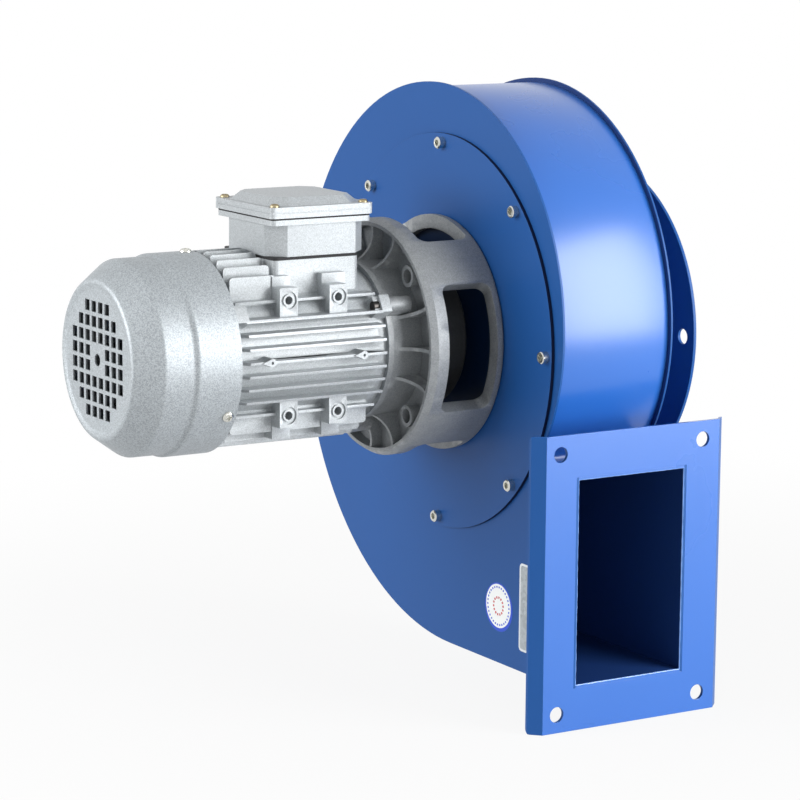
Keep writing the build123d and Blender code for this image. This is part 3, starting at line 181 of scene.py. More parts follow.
class EffectGroups:
    """Shader node groups that several finishes share."""

    def __init__(self) -> None:
        """Build each group once."""
        self.drift = self._build_drift()
        self.flake = self._build_flake()
        self.grain = self._build_grain()
        # Lighter pointed edges, partly a painted highlight, and painted shade round the shaft.
        self.wear_and_highlight = self._build_wear_and_highlight()
        self.painted_shade = self._build_painted_shade()

    @staticmethod
    def _start(
        name: str, inputs: dict[str, str | float], outputs: dict[str, str]
    ) -> tuple[Wiring, Any, bpy.types.Node]:
        """Start a group with its sockets.

        Args:
            name: Name of the group.
            inputs: The default of each input that is a number, and the type of any other.
            outputs: Type of each output.

        Returns:
            The group's wiring, the sockets that bring its inputs, and its output node.
        """
        tree = bpy.data.node_groups.new(name, "ShaderNodeTree")
        for label, given in inputs.items():
            kind = given if isinstance(given, str) else "Float"
            socket = tree.interface.new_socket(
                label, in_out="INPUT", socket_type="NodeSocket" + kind
            )
            if kind == "Float":
                socket.default_value = given
        for label, kind in outputs.items():
            tree.interface.new_socket(label, in_out="OUTPUT", socket_type="NodeSocket" + kind)
        source = tree.nodes.new("NodeGroupInput")
        return Wiring(tree), source.outputs, tree.nodes.new("NodeGroupOutput")

    @staticmethod
    def _tint(wiring: Wiring, source: Any, amount: bpy.types.NodeSocket) -> bpy.types.NodeSocket:
        """Tint a colour: the colour times one plus a share of the amount less a half.

        Args:
            wiring: The group's wiring.
            source: The group's inputs, with Colour and Share among them.
            amount: The amount, 0 to 1.

        Returns:
            The tinted colour.
        """
        centred = wiring.calculate("SUBTRACT", amount, 0.5)
        spread = wiring.calculate("MULTIPLY", centred, source["Share"])
        gain = wiring.calculate("ADD", spread, 1.0)
        feeds = {0: source["Colour"], "Scale": gain}
        return wiring.add("VectorMath", feeds, operation="SCALE").outputs[0]

    def _build_drift(self) -> bpy.types.NodeTree:
        """Cloudy change of tone over a surface.

        Returns:
            The group.
        """
        inputs = {"Vector": "Vector", "Colour": "Color", "Scale": 20.0, "Share": 0.1}
        outputs = {"Colour": "Color", "Value": "Float"}
        wiring, source, result = self._start("tone drift", inputs, outputs)
        feeds = {"Vector": source["Vector"], "Scale": source["Scale"], "Detail": 4.0}
        cloud = wiring.add("TexNoise", feeds).outputs["Fac"]
        wiring.feed(result, {"Colour": self._tint(wiring, source, cloud), "Value": cloud})
        return wiring.tree

    def _build_flake(self) -> bpy.types.NodeTree:
        """Small flakes of random brightness, as in metallic paint and cast skin.

        Returns:
            The group.
        """
        inputs = {"Vector": "Vector", "Colour": "Color", "Scale": 1500.0, "Share": 0.2}
        wiring, source, result = self._start("flake", inputs, {"Colour": "Color"})
        feeds = {"Vector": source["Vector"], "Scale": source["Scale"]}
        cells = wiring.add("TexVoronoi", feeds, feature="F1")
        bright = wiring.add("SeparateColor", {0: cells.outputs["Color"]}).outputs[0]
        wiring.feed(result, {"Colour": self._tint(wiring, source, bright)})
        return wiring.tree

    def _build_grain(self) -> bpy.types.NodeTree:
        """Height of a grained skin: coarse and fine noise in equal parts.

        Returns:
            The group.
        """
        inputs = {"Vector": "Vector", "Scale": 800.0}
        wiring, source, result = self._start("grain", inputs, {"Height": "Float"})
        coarse_scale = wiring.calculate("MULTIPLY", source["Scale"], 0.22)
        heights = [
            wiring.add("TexNoise", {"Vector": source["Vector"], "Scale": scale, "Detail": detail})
            for scale, detail in ((source["Scale"], 2.0), (coarse_scale, 1.0))
        ]
        fine, coarse = (noise.outputs["Fac"] for noise in heights)
        feeds = {"Factor": 0.5, "A": fine, "B": coarse}
        both = wiring.add("Mix", feeds, data_type="FLOAT")
        wiring.feed(result, {"Height": both.outputs["Result"]})
        return wiring.tree

    def _build_wear_and_highlight(self) -> bpy.types.NodeTree:
        """Mask of rubbed edges that also paints a highlight on them: pointed places, broken up by
        noise.

        Returns:
            The group.
        """
        inputs = {"Vector": "Vector", "Amount": 0.3}
        wiring, source, result = self._start("edge wear and painted highlight", inputs, {"Mask": "Float"})
        pointed = wiring.add("NewGeometry").outputs["Pointiness"]
        edge = wiring.add("MapRange", {"Value": pointed, "From Min": 0.52, "From Max": 0.62})
        feeds = {"Vector": source["Vector"], "Scale": 120.0, "Detail": 3.0}
        noise = wiring.add("TexNoise", feeds).outputs["Fac"]
        broken = wiring.add("MapRange", {"Value": noise, "From Min": 0.45, "From Max": 0.6})
        both = wiring.calculate("MULTIPLY", edge.outputs[0], broken.outputs[0])
        wiring.feed(result, {"Mask": wiring.calculate("MULTIPLY", both, source["Amount"])})
        return wiring.tree

    def _build_painted_shade(self) -> bpy.types.NodeTree:
        """Painted shade in the hollow round the shaft: darker within a radius and beyond a place
        on Y.

        Returns:
            The group.
        """
        inputs = {"Vector": "Vector", "Radius": 0.1, "Place": -1.0, "Tone": 1.0}
        wiring, source, result = self._start("painted shade in hollow", inputs, {"Value": "Float"})
        parts = wiring.add("SeparateXYZ", {0: source["Vector"]}).outputs
        flat = wiring.add("CombineXYZ", {"X": parts["X"], "Z": parts["Z"]})
        reach = wiring.add("VectorMath", {0: flat.outputs[0]}, operation="LENGTH")
        depth = wiring.calculate("SUBTRACT", source["Radius"], reach.outputs["Value"])
        inner = wiring.add(
            "MapRange",
            {"Value": depth, "From Min": -0.002, "From Max": 0.004},
            interpolation_type="SMOOTHSTEP",
        )
        ahead = wiring.calculate("GREATER_THAN", parts["Y"], source["Place"])
        share = wiring.calculate("MULTIPLY", inner.outputs[0], ahead)
        feeds = {"Factor": share, "A": 1.0, "B": source["Tone"]}
        blend = wiring.add("Mix", feeds, data_type="FLOAT")
        wiring.feed(result, {"Value": blend.outputs["Result"]})
        return wiring.tree


@dataclass(frozen=True)
class Finish:
    """One surface finish, with its colour, gloss and small texture, painted shade round the shaft
    and lighter edges, partly a painted highlight.
    """

    name: str
    colour: Colour
    roughness: float
    metallic: float = 0.0
    drift: float = 0.06
    drift_scale: float = 9.0
    flake: float = 0.0
    flake_scale: float = 1500.0
    rough_drift: float = 0.05
    grain_scale: float = 900.0
    grain_depth: float = 0.00002
    # Lighter pointed edges: partly rubbed wear, partly a painted highlight.
    wear_and_highlight: float = 0.0
    worn_and_lit: Colour = (0.6, 0.6, 0.6)
    coat: float = 0.0
    coat_roughness: float = 0.1
    specular: float = 0.5
    # Painted shade in the hollow round the shaft: its radius, its place on Y and its tone.
    painted_shade_r: float = 0.0
    painted_shade_y: float = -1.0
    painted_shade_tone: float = 1.0

    def build(self, groups: EffectGroups) -> bpy.types.Material:
        """Make the material.

        Args:
            groups: The shared effects.

        Returns:
            A node material with the finish's own values.
        """
        material = bpy.data.materials.new(self.name)
        material.use_nodes = True
        wiring = Wiring(material.node_tree)
        place = wiring.add("TexCoord").outputs["Object"]

        def effect(group: bpy.types.NodeTree, **feeds: Any) -> Any:
            """Outputs of a shared effect, placed with its own values."""
            return wiring.add("Group", {"Vector": place, **feeds}, node_tree=group).outputs

        base = (*self.colour, 1.0)
        tone = effect(groups.drift, Colour=base, Scale=self.drift_scale, Share=self.drift)
        flake = effect(
            groups.flake, Colour=tone["Colour"], Scale=self.flake_scale, Share=self.flake
        )
        # Pointed edges lighten, partly as a painted highlight, and the hollow round the shaft
        # darkens as painted shade.
        wear_and_highlight = effect(groups.wear_and_highlight, Amount=self.wear_and_highlight)
        rubbed_and_lit = wiring.add(
            "Mix", {0: wear_and_highlight["Mask"], 6: flake["Colour"], 7: (*self.worn_and_lit, 1.0)}, data_type="RGBA"
        )
        painted_shade = effect(
            groups.painted_shade, Radius=self.painted_shade_r, Place=self.painted_shade_y, Tone=self.painted_shade_tone
        )
        feeds = {0: rubbed_and_lit.outputs[2], "Scale": painted_shade["Value"]}
        toned = wiring.add("VectorMath", feeds, operation="SCALE")
        smoothest = max(0.02, self.roughness - self.rough_drift)
        roughest = min(1.0, self.roughness + self.rough_drift)
        feeds = {"Value": tone["Value"], "To Min": smoothest, "To Max": roughest}
        gloss = wiring.add("MapRange", feeds)
        grain = effect(groups.grain, Scale=self.grain_scale)
        feeds = {"Height": grain["Height"], "Distance": self.grain_depth, "Strength": 1.0}
        bump = wiring.add("Bump", feeds)
        skin = {
            "Base Color": toned.outputs[0],
            "Roughness": gloss.outputs[0],
            "Normal": bump.outputs["Normal"],
            "Metallic": self.metallic,
            "Coat Weight": self.coat,
            "Coat Roughness": self.coat_roughness,
            "Specular IOR Level": self.specular,
        }
        wiring.feed(wiring.tree.nodes["Principled BSDF"], skin)
        return material


class Paint(Enum):
    """Every finish on the fan."""

    BLUE = Finish(
        "blue powder coat", linear(41, 101, 186), 0.28, drift=0.05, rough_drift=0.03,
        grain_scale=420.0, grain_depth=0.00003, coat=0.40, coat_roughness=0.26,
    )
    # A darker, less glossy copy of the blue coat: painted shade on surfaces that face away from
    # the lamps.
    BLUE_SHADED = Finish(
        "blue powder coat, shaded copy", linear(30, 82, 148), 0.40, drift=0.05,
        rough_drift=0.03, grain_scale=420.0, grain_depth=0.00003, specular=0.22,
    )
    # The motor plate's copy adds painted shade within the lantern, round the shaft.
    BLUE_PLATE_SHADED = replace(
        BLUE_SHADED, name="blue powder coat, motor plate, painted shade", painted_shade_r=0.096, painted_shade_tone=0.16
    )
    # Darker blue on faces inside the scroll and duct: painted shade.
    BLUE_INSIDE_SHADE = Finish(
        "blue powder coat, painted shade inside", linear(27, 58, 115), 0.5, drift=0.12, drift_scale=14.0,
        grain_scale=420.0, grain_depth=0.00005, specular=0.25,
    )
    # Lighter blue on the seam round the duct's mouth: a painted highlight.
    BLUE_HIGHLIGHT = Finish(
        "blue powder coat, painted highlight", linear(118, 158, 224), 0.24, drift=0.10,
        drift_scale=60.0, grain_depth=0.00004, coat=0.3, coat_roughness=0.15,
    )
    # Dark navy on the motor plate's rim: a painted shadow line.
    BLUE_SHADOW_LINE = Finish(
        "painted shadow line", linear(10, 24, 56), 0.6, drift=0.10, grain_depth=0.00004, specular=0.2
    )
    SILVER = Finish(
        "silver motor paint", linear(172, 177, 180), 0.40, metallic=0.20, drift=0.07, flake=0.36,
        flake_scale=1700.0, rough_drift=0.06, grain_scale=700.0, grain_depth=0.00012,
        specular=0.4,
    )
    COWL = Finish(
        "silver cowl paint", linear(162, 168, 172), 0.50, metallic=0.45, flake=0.50,
        flake_scale=1400.0, grain_depth=0.00008, specular=0.4,
    )
    # Painted shade inside the lantern round the shaft; lighter pointed edges, partly rubbed and
    # partly a painted highlight.
    CASTING = Finish(
        "raw die casting", linear(140, 144, 147), 0.50, metallic=0.34, drift=0.16,
        drift_scale=16.0, flake=0.28, flake_scale=1300.0, rough_drift=0.10, grain_scale=600.0,
        grain_depth=0.00014, wear_and_highlight=0.5, worn_and_lit=linear(196, 198, 200), painted_shade_r=0.0885,
        painted_shade_y=-0.2195, painted_shade_tone=0.14,
    )
    # Lighter pointed edges: partly rubbed, partly a painted highlight.
    ZINC = Finish(
        "bright zinc", linear(205, 205, 198), 0.24, metallic=1.0, drift=0.12, drift_scale=90.0,
        grain_scale=1500.0, grain_depth=0.00001, wear_and_highlight=0.4, worn_and_lit=linear(240, 240, 235),
    )
    BRASS = Finish(
        "yellow zinc", linear(158, 146, 118), 0.40, metallic=1.0, drift=0.14, drift_scale=90.0,
        grain_scale=1500.0, grain_depth=0.00001,
    )
    RUBBER = Finish(
        "black sealing rubber", linear(22, 22, 24), 0.72, drift=0.2, drift_scale=60.0,
        grain_scale=1500.0, grain_depth=0.00004,
    )
    MOULDING = Finish("black moulding", linear(26, 27, 29), 0.45, drift=0.1, grain_scale=1800.0)
    POLISHED = Finish(
        "polished bearing steel", linear(200, 201, 204), 0.12, metallic=1.0, drift=0.04,
        grain_scale=2500.0, grain_depth=0.000003,
    )
    # Blued steel on the spring and clip; on the end-shield screws this dark steel is painted shade
    # of their recesses.
    DARK_STEEL_AND_SHADE = Finish(
        "blued steel and painted shade", linear(70, 68, 66), 0.34, metallic=1.0, drift=0.12,
        drift_scale=80.0,
    )
    LAMINATION = Finish(
        "core sheet", linear(96, 98, 102), 0.5, metallic=0.9, drift=0.16, drift_scale=70.0,
        grain_scale=1600.0, grain_depth=0.00003,
    )
    COPPER = Finish(
        "varnished copper", linear(150, 76, 38), 0.3, metallic=0.7, drift=0.25,
        drift_scale=120.0, grain_depth=0.00012, coat=0.5,
    )
    ROTOR_ALLOY = Finish(
        "cast rotor alloy", linear(190, 191, 194), 0.4, metallic=0.9, drift=0.1,
        drift_scale=50.0, grain_depth=0.00004,
    )
    GROUND_STEEL = Finish(
        "ground shaft steel", linear(168, 170, 173), 0.22, metallic=1.0, drift_scale=40.0,
        grain_scale=2200.0, grain_depth=0.000008,
    )
    SHEET_STEEL = Finish(
        "galvanised sheet", linear(140, 144, 150), 0.4, metallic=0.9, drift=0.22,
        drift_scale=55.0, flake=0.18, flake_scale=160.0, grain_depth=0.00003,
    )
    LABEL_WHITE = Finish(
        "white label film", linear(252, 254, 253), 0.35, drift=0.02, grain_depth=0.000004
    )
    LABEL_BLUE = Finish(
        "blue label print", linear(8, 74, 205), 0.35, drift=0.04, grain_depth=0.000004
    )
    LABEL_RED = Finish(
        "red label print", linear(196, 60, 66), 0.35, drift=0.05, grain_depth=0.000004
    )
    NAMEPLATE = Finish(
        "brushed nameplate", linear(168, 174, 178), 0.34, metallic=0.85, drift=0.12,
        drift_scale=60.0, flake=0.30, flake_scale=330.0,
    )
    NAMEPLATE_RIM = Finish(
        "bright nameplate rim", linear(226, 232, 236), 0.2, metallic=0.9, drift=0.03
    )


class Workshop:
    """Makes pieces, gives them finishes and puts them on the fan's bodies."""

    def __init__(self, frame: dict[str, Any]) -> None:
        """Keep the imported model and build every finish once.
        """
        self.nodes = frame["nodes"]
        groups = EffectGroups()
        self.materials = {paint: paint.value.build(groups) for paint in Paint}

    def _coat(self, piece: bpy.types.Object, paint: Paint) -> None:
        """Give a piece one finish in place of what it had."""
        piece.data.materials.clear()
        piece.data.materials.append(self.materials[paint])

    def fit(
        self,
        piece: bpy.types.Object,
        paint: Paint,
        body: Body,
        slot: Slot,
        replaces: Sequence[str] = (),
    ) -> bpy.types.Object:
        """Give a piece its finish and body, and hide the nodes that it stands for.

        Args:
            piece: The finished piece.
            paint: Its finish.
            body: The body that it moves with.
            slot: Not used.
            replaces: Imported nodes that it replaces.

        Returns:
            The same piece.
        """
        self._coat(piece, paint)
        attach(piece, body.value)
        if replaces:
            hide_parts(*replaces)
        LOG.info("%s rides on %s in %s", piece.name, body.value, paint.value.name)
        return piece

    def dress(self, names: Sequence[str], paint: Paint) -> None:
        """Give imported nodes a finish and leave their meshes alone.

        Args:
            names: The nodes.
            paint: Their finish.
        """
        for name in names:
            self._coat(self.nodes[name], paint)
            LOG.info("%s keeps its solid, in %s", name, paint.value.name)

    def line_faces(
        self,
        piece: bpy.types.Object,
        paint: Paint,
        chosen: Callable[[np.ndarray, np.ndarray], np.ndarray],
    ) -> None:
        """Give some faces of a piece a second finish, such as the painted shade inside the scroll.

        Args:
            piece: The piece.
            paint: The second finish.
            chosen: Picks faces by their centres, in millimetres, and their normals.
        """
        mesh = piece.data
        mesh.materials.append(self.materials[paint])
        centres = np.empty(len(mesh.polygons) * 3)
        normals = np.empty(len(mesh.polygons) * 3)
        mesh.polygons.foreach_get("center", centres)
        mesh.polygons.foreach_get("normal", normals)
        picked = chosen(centres.reshape(-1, 3) / MM, normals.reshape(-1, 3))
        mesh.polygons.foreach_set("material_index", picked.astype(np.int32))

    def refine(
        self,
        name: str,
        paint: Paint,
        body: Body,
        slot: Slot,
        edge: float,
        crease: float = 38.0,
        reshape: Callable[[np.ndarray], np.ndarray] | None = None,
    ) -> bpy.types.Object:
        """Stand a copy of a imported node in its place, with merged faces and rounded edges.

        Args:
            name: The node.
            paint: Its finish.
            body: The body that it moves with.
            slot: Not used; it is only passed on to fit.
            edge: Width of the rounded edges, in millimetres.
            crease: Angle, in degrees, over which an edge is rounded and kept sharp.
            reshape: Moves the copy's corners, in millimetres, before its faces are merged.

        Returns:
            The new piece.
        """
        mesh = self.nodes[name].data.copy()
        mesh.name = name + "_dressed"
        if reshape:
            points = np.empty(len(mesh.vertices) * 3)
            mesh.vertices.foreach_get("co", points)
            moved = reshape(points.reshape(-1, 3) / MM) * MM
            mesh.vertices.foreach_set("co", moved.ravel())
        shape = bmesh.new()
        shape.from_mesh(mesh)
        bmesh.ops.remove_doubles(shape, verts=shape.verts, dist=0.000004)
        bmesh.ops.dissolve_limit(
            shape, angle_limit=math.radians(0.4), verts=shape.verts, edges=shape.edges
        )
        shape.to_mesh(mesh)
        shape.free()
        piece = stand(name + "_dressed", mesh, crease)
        rounding = piece.modifiers.new("rounded edges", "BEVEL")
        rounding.width = edge * MM
        rounding.segments = 2
        rounding.limit_method = "ANGLE"
        rounding.angle_limit = math.radians(crease)
        rounding.use_clamp_overlap = True
        rounding.harden_normals = True
        return self.fit(piece, paint, body, slot, [name])


def stand(name: str, mesh: bpy.types.Mesh, crease: float = 38.0) -> bpy.types.Object:
    """Put a mesh into the scene, shaded smooth between its creases.

    Args:
        name: Name of the piece.
        mesh: Its mesh.
        crease: Angle, in degrees, over which an edge is kept sharp.

    Returns:
        The piece, at the origin.
    """
    mesh.polygons.foreach_set("use_smooth", np.ones(len(mesh.polygons), dtype=bool))
    mesh.set_sharp_from_angle(angle=math.radians(crease))
    piece = bpy.data.objects.new(name, mesh)
    bpy.context.scene.collection.objects.link(piece)
    return piece


def surface(
    name: str,
    points: np.ndarray,
    around: bool = True,
    along: bool = False,
    capped: bool = False,
) -> bpy.types.Object:
    """Put a grid of points into a mesh.

    The grid's faces join point (i, j) to (i + 1, j), (i + 1, j + 1) and (i, j + 1), with the
    indices taken round the ends where the grid closes on itself.

    Args:
        name: Name of the piece.
        points: Array of rows, columns and three coordinates in metres.
        around: Whether the columns close on themselves.
        along: Whether the rows close on themselves.
        capped: Whether the first and last rows are filled.

    Returns:
        The piece, at the origin, with its faces pointing outwards.
    """
    rows, columns = points.shape[:2]
    row = np.arange(rows if along else rows - 1)[:, None]
    column = np.arange(columns if around else columns - 1)[None, :]
    next_row = (row + 1) % rows
    next_column = (column + 1) % columns
    corners = [
        row * columns + column,
        next_row * columns + column,
        next_row * columns + next_column,
        row * columns + next_column,
    ]
    faces = np.stack(corners, axis=-1).reshape(-1, 4).tolist()
    if capped:
        faces.append(list(range(columns)))
        faces.append(list(range((rows - 1) * columns, rows * columns)))
    mesh = bpy.data.meshes.new(name)
    mesh.from_pydata(points.reshape(-1, 3).tolist(), [], faces)
    shape = bmesh.new()
    shape.from_mesh(mesh)
    bmesh.ops.remove_doubles(shape, verts=shape.verts, dist=0.000002)
    bmesh.ops.recalc_face_normals(shape, faces=shape.faces)
    shape.to_mesh(mesh)
    shape.free()
    return stand(name, mesh)


def turn_profile(
    profile: Sequence[Point], angle: np.ndarray, centre: Point = (0.0, 0.0)
) -> np.ndarray:
    """Turn a profile about a line along Y.

    A point of radius r and place y goes to (r cos t, y, r sin t) from the centre.

    Args:
        profile: Radius and place along Y, in millimetres.
        angle: The angles t.
        centre: Place of the line in X and Z, in millimetres.

    Returns:
        Grid of points in metres, with a row for each angle.
    """
    radius, place = np.array(profile).T
    angle = angle[:, None]
    coordinates = [
        centre[0] + radius * np.cos(angle),
        np.broadcast_to(place, (len(angle), len(place))),
        centre[1] + radius * np.sin(angle),
    ]
    return np.stack(coordinates, axis=-1) * MM


def turned(
    name: str, profile: Sequence[Point], steps: int, centre: Point = (0.0, 0.0)
) -> bpy.types.Object:
    """Turn a closed profile once round a line along Y.

    Args:
        name: Name of the piece.
        profile: Radius and place along Y, in millimetres.
        steps: Steps round the turn.
        centre: Place of the line in X and Z, in millimetres.

    Returns:
        The turned piece.
    """
    angle = np.linspace(0, FULL_TURN, steps, endpoint=False)
    return surface(name, turn_profile(profile, angle, centre), along=True)


def carry(line: np.ndarray, out: np.ndarray, across: np.ndarray, along: np.ndarray) -> np.ndarray:
    """Carry a section along a flat line.

    Section point (u, v) goes to the line's point plus u times the outward direction there,
    and to v on the axis that stands square to the line's plane.

    Args:
        line: Points of the line, two coordinates each.
        out: Outward direction at each point.
        across: The section's u, once or for each point of the line.
        along: The section's v, once or for each point of the line.

    Returns:
        Grid of points in metres: the line's first coordinate, v, the line's second one.
    """
    place = line[:, None, :] + out[:, None, :] * np.atleast_2d(across)[..., None]
    level = np.broadcast_to(along, place.shape[:2])
    return np.stack([place[..., 0], level, place[..., 1]], axis=-1) * MM


def seam_section(
    radius: float, steps: int, sides: int, waves: Sequence[Point]
) -> tuple[np.ndarray, np.ndarray]:
    """Round section of a weld or paint seam, whose size ripples along it.

    Its radius at step k is the plain one times one plus the sum of the waves, and each wave is
    its share times the sine of its pace times k.

    Args:
        radius: The plain radius.
        steps: Steps along the seam.
        sides: Points round the section.
        waves: Share and pace of each wave.

    Returns:
        Both coordinates of the section at each step, from the seam's middle.
    """
    step = np.arange(steps)[:, None]
    ripple = 1 + sum(share * np.sin(step * pace) for share, pace in waves)
    angle = np.linspace(0, FULL_TURN, sides, endpoint=False)
    return radius * ripple * np.cos(angle), radius * ripple * np.sin(angle)


def rounded_loop(width: float, height: float, radius: float, steps: int) -> np.ndarray:
    """Loop of points round a rectangle with rounded corners, about its centre.

    Each corner is a quarter circle of the radius about a point that far in from both sides.

    Args:
        width: Full width.
        height: Full height.
        radius: Corner radius.
        steps: Steps in each quarter.

    Returns:
        Array of points, two coordinates each.
    """
    quarter = np.linspace(0, np.pi / 2, steps + 1)
    signs = np.array([[1, 1], [-1, 1], [-1, -1], [1, -1]])
    centres = signs * [width / 2 - radius, height / 2 - radius]
    angle = quarter[None, :] + (np.arange(4) * np.pi / 2)[:, None]
    arc = np.stack([np.cos(angle), np.sin(angle)], axis=-1) * radius
    return (centres[:, None, :] + arc).reshape(-1, 2)


def merge(name: str, parts: Sequence[bpy.types.Object]) -> bpy.types.Object:
    """Join like pieces into one object.

    Args:
        name: Name of the joined piece.
        parts: The pieces, all at the origin.

    Returns:
        The joined piece.
    """
    shape = bmesh.new()
    for part in parts:
        shape.from_mesh(part.data)
    mesh = bpy.data.meshes.new(name)
    shape.to_mesh(mesh)
    shape.free()
    for part in parts:
        bpy.data.objects.remove(part)
    return stand(name, mesh)


@dataclass(frozen=True)
class ScrewHead:
    """A screw's head and shank: rings of changing radius, whose recess is not round.

    The radius of ring k at angle t is r_k times a shape factor. The factor is 1 for round
    rings, the apothem over cos of the angle to the nearest flat's middle for a hexagon, and a
    four-lobed curve for a cross.
    """

    head_r: float
    head_h: float
    shank_r: float
    shank_l: float
    recess_r: float
    recess_depth: float
    drive: Drive
    shank_bevel: float = 0.4
    seat_bevel: float = 0.1
    rim: Point = (0.35, 0.15)
    taper: float = 0.94
    pointed: float = 1.15
    steps: int = 48

    def _factor(self, angle: np.ndarray) -> np.ndarray:
        """Work out the recess's shape.

        Args:
            angle: Angles about the screw's axis.

        Returns:
            The shape factor at each angle.
        """
        if self.drive is Drive.SOCKET:
            sector = np.pi / 3
            offset = np.mod(angle, sector) - sector / 2
            return np.cos(np.pi / 6) / np.cos(offset)
        return 0.34 + 0.66 * np.abs(np.cos(2 * angle)) ** 3

    def _crown(self) -> list[Point]:
        """Shape the head's outer edge: a bevel on a socket head, and a dome on a cross one.

        With t through a quarter turn, the dome's radius is the head's times the cosine of
        0.72 t, and its height the head's times the sine of t.

        Returns:
            Radius and height of each ring.
        """
        if self.drive is Drive.CROSS:
            turn = np.linspace(0, np.pi / 2, 7)[1:-1]
            return [*zip(self.head_r * np.cos(0.72 * turn), self.head_h * np.sin(turn))]
        bevel = 0.12 * self.head_h
        return [(self.head_r, self.head_h - bevel), (self.head_r - bevel, self.head_h)]

    def points(self) -> np.ndarray:
        """Work out the screw's surface along its own axis, head up, seat at height zero.

        Returns:
            Grid of points, with a row for each ring.
        """
        lip, drop = self.rim
        top, depth = self.head_h, self.recess_depth
        outside = [
            (0.0, -self.shank_l),
            (self.shank_r - self.shank_bevel, -self.shank_l),
            (self.shank_r, self.shank_bevel - self.shank_l),
            (self.shank_r, 0.0),
            (self.head_r - self.seat_bevel, 0.0),
            (self.head_r, self.seat_bevel),
            *self._crown(),
            (self.recess_r + lip, top),
        ]
        recess = [
            (self.recess_r, top - drop),
            (self.recess_r * self.taper, top - depth),
            (0.0, top - depth * self.pointed),
        ]
        angle = np.linspace(0, FULL_TURN, self.steps, endpoint=False)
        radius, height = np.array(outside + recess).T[..., None]
        factor = np.ones((len(radius), self.steps))
        factor[len(outside):] = self._factor(angle)
        spread = radius * factor
        level = np.broadcast_to(height, factor.shape)
        return np.stack([spread * np.cos(angle), spread * np.sin(angle), level], axis=-1)

    def place(
        self, name: str, seat: Sequence[float], out: Sequence[float], turn: float
    ) -> bpy.types.Object:
        """Make the screw at a seat.

        Args:
            name: Name of the piece.
            seat: Centre of the head's seat, in millimetres.
            out: Direction that the head faces.
            turn: Turn of the recess about the screw's axis, in degrees.

        Returns:
            The screw.
        """
        facing = Vector(out).to_track_quat("Z", "Y").to_matrix()
        basis = np.array(facing @ Matrix.Rotation(math.radians(turn), 3, "Z"))
        points = self.points() @ basis.T + np.array(seat)
        return surface(name, points * MM)

    def row(
        self,
        name: str,
        seats: Sequence[Place],
        facing: Callable[[Place], Place],
        first_turn: float = 17.0,
        next_turn: float = 53.0,
    ) -> bpy.types.Object:
        """Make one piece of several like screws, whose recesses are turned differently.

        Args:
            name: Name of the piece.
            seats: Centre of each seat, in millimetres.
            facing: Direction of a head at its seat.
            first_turn: Turn of the first recess, in degrees.
            next_turn: Turn from each recess to the next, in degrees.

        Returns:
            The joined screws.
        """
        screws = [
            self.place(f"{name}_{index}", seat, facing(seat), first_turn + next_turn * index)
            for index, seat in enumerate(seats)
        ]
        return merge(name, screws)


def seats_round(radius: float, y: float, angles: Sequence[float]) -> list[Place]:
    """Screw seats on a circle about the shaft.

    Args:
        radius: Radius of the circle, in millimetres.
        y: Place along Y, in millimetres.
        angles: Angle of each seat from +X to +Z, in degrees.

    Returns:
        Centre of each seat.
    """
    turns = [math.radians(angle) for angle in angles]
    return [(radius * math.cos(turn), y, radius * math.sin(turn)) for turn in turns]


def straight(start: Point, end: Point, out: Point, count: int) -> tuple[np.ndarray, np.ndarray]:
    """Lay even points along a straight run.

    Args:
        start: First point.
        end: Last point.
        out: Outward direction of the whole run.
        count: Number of points.

    Returns:
        The points and their outward directions.
    """
    share = np.linspace(0, 1, count)[:, None]
    points = np.array(start) * (1 - share) + np.array(end) * share
    return points, np.tile(np.array(out), (count, 1))


def bend(
    centre: Point, radius: float, turns: Point, sign: float, count: int
) -> tuple[np.ndarray, np.ndarray]:
    """Lay points along an arc: its centre plus its radius times (cos t, sin t).

    Args:
        centre: Centre of the arc.
        radius: Its radius.
        turns: First and last angle t.
        sign: Whether outwards is away from the centre, 1, or towards it, -1.
        count: Number of points.

    Returns:
        The points and their outward directions.
    """
    angle = np.linspace(*turns, count)
    ray = np.stack([np.cos(angle), np.sin(angle)], axis=-1)
    return np.array(centre) + radius * ray, sign * ray


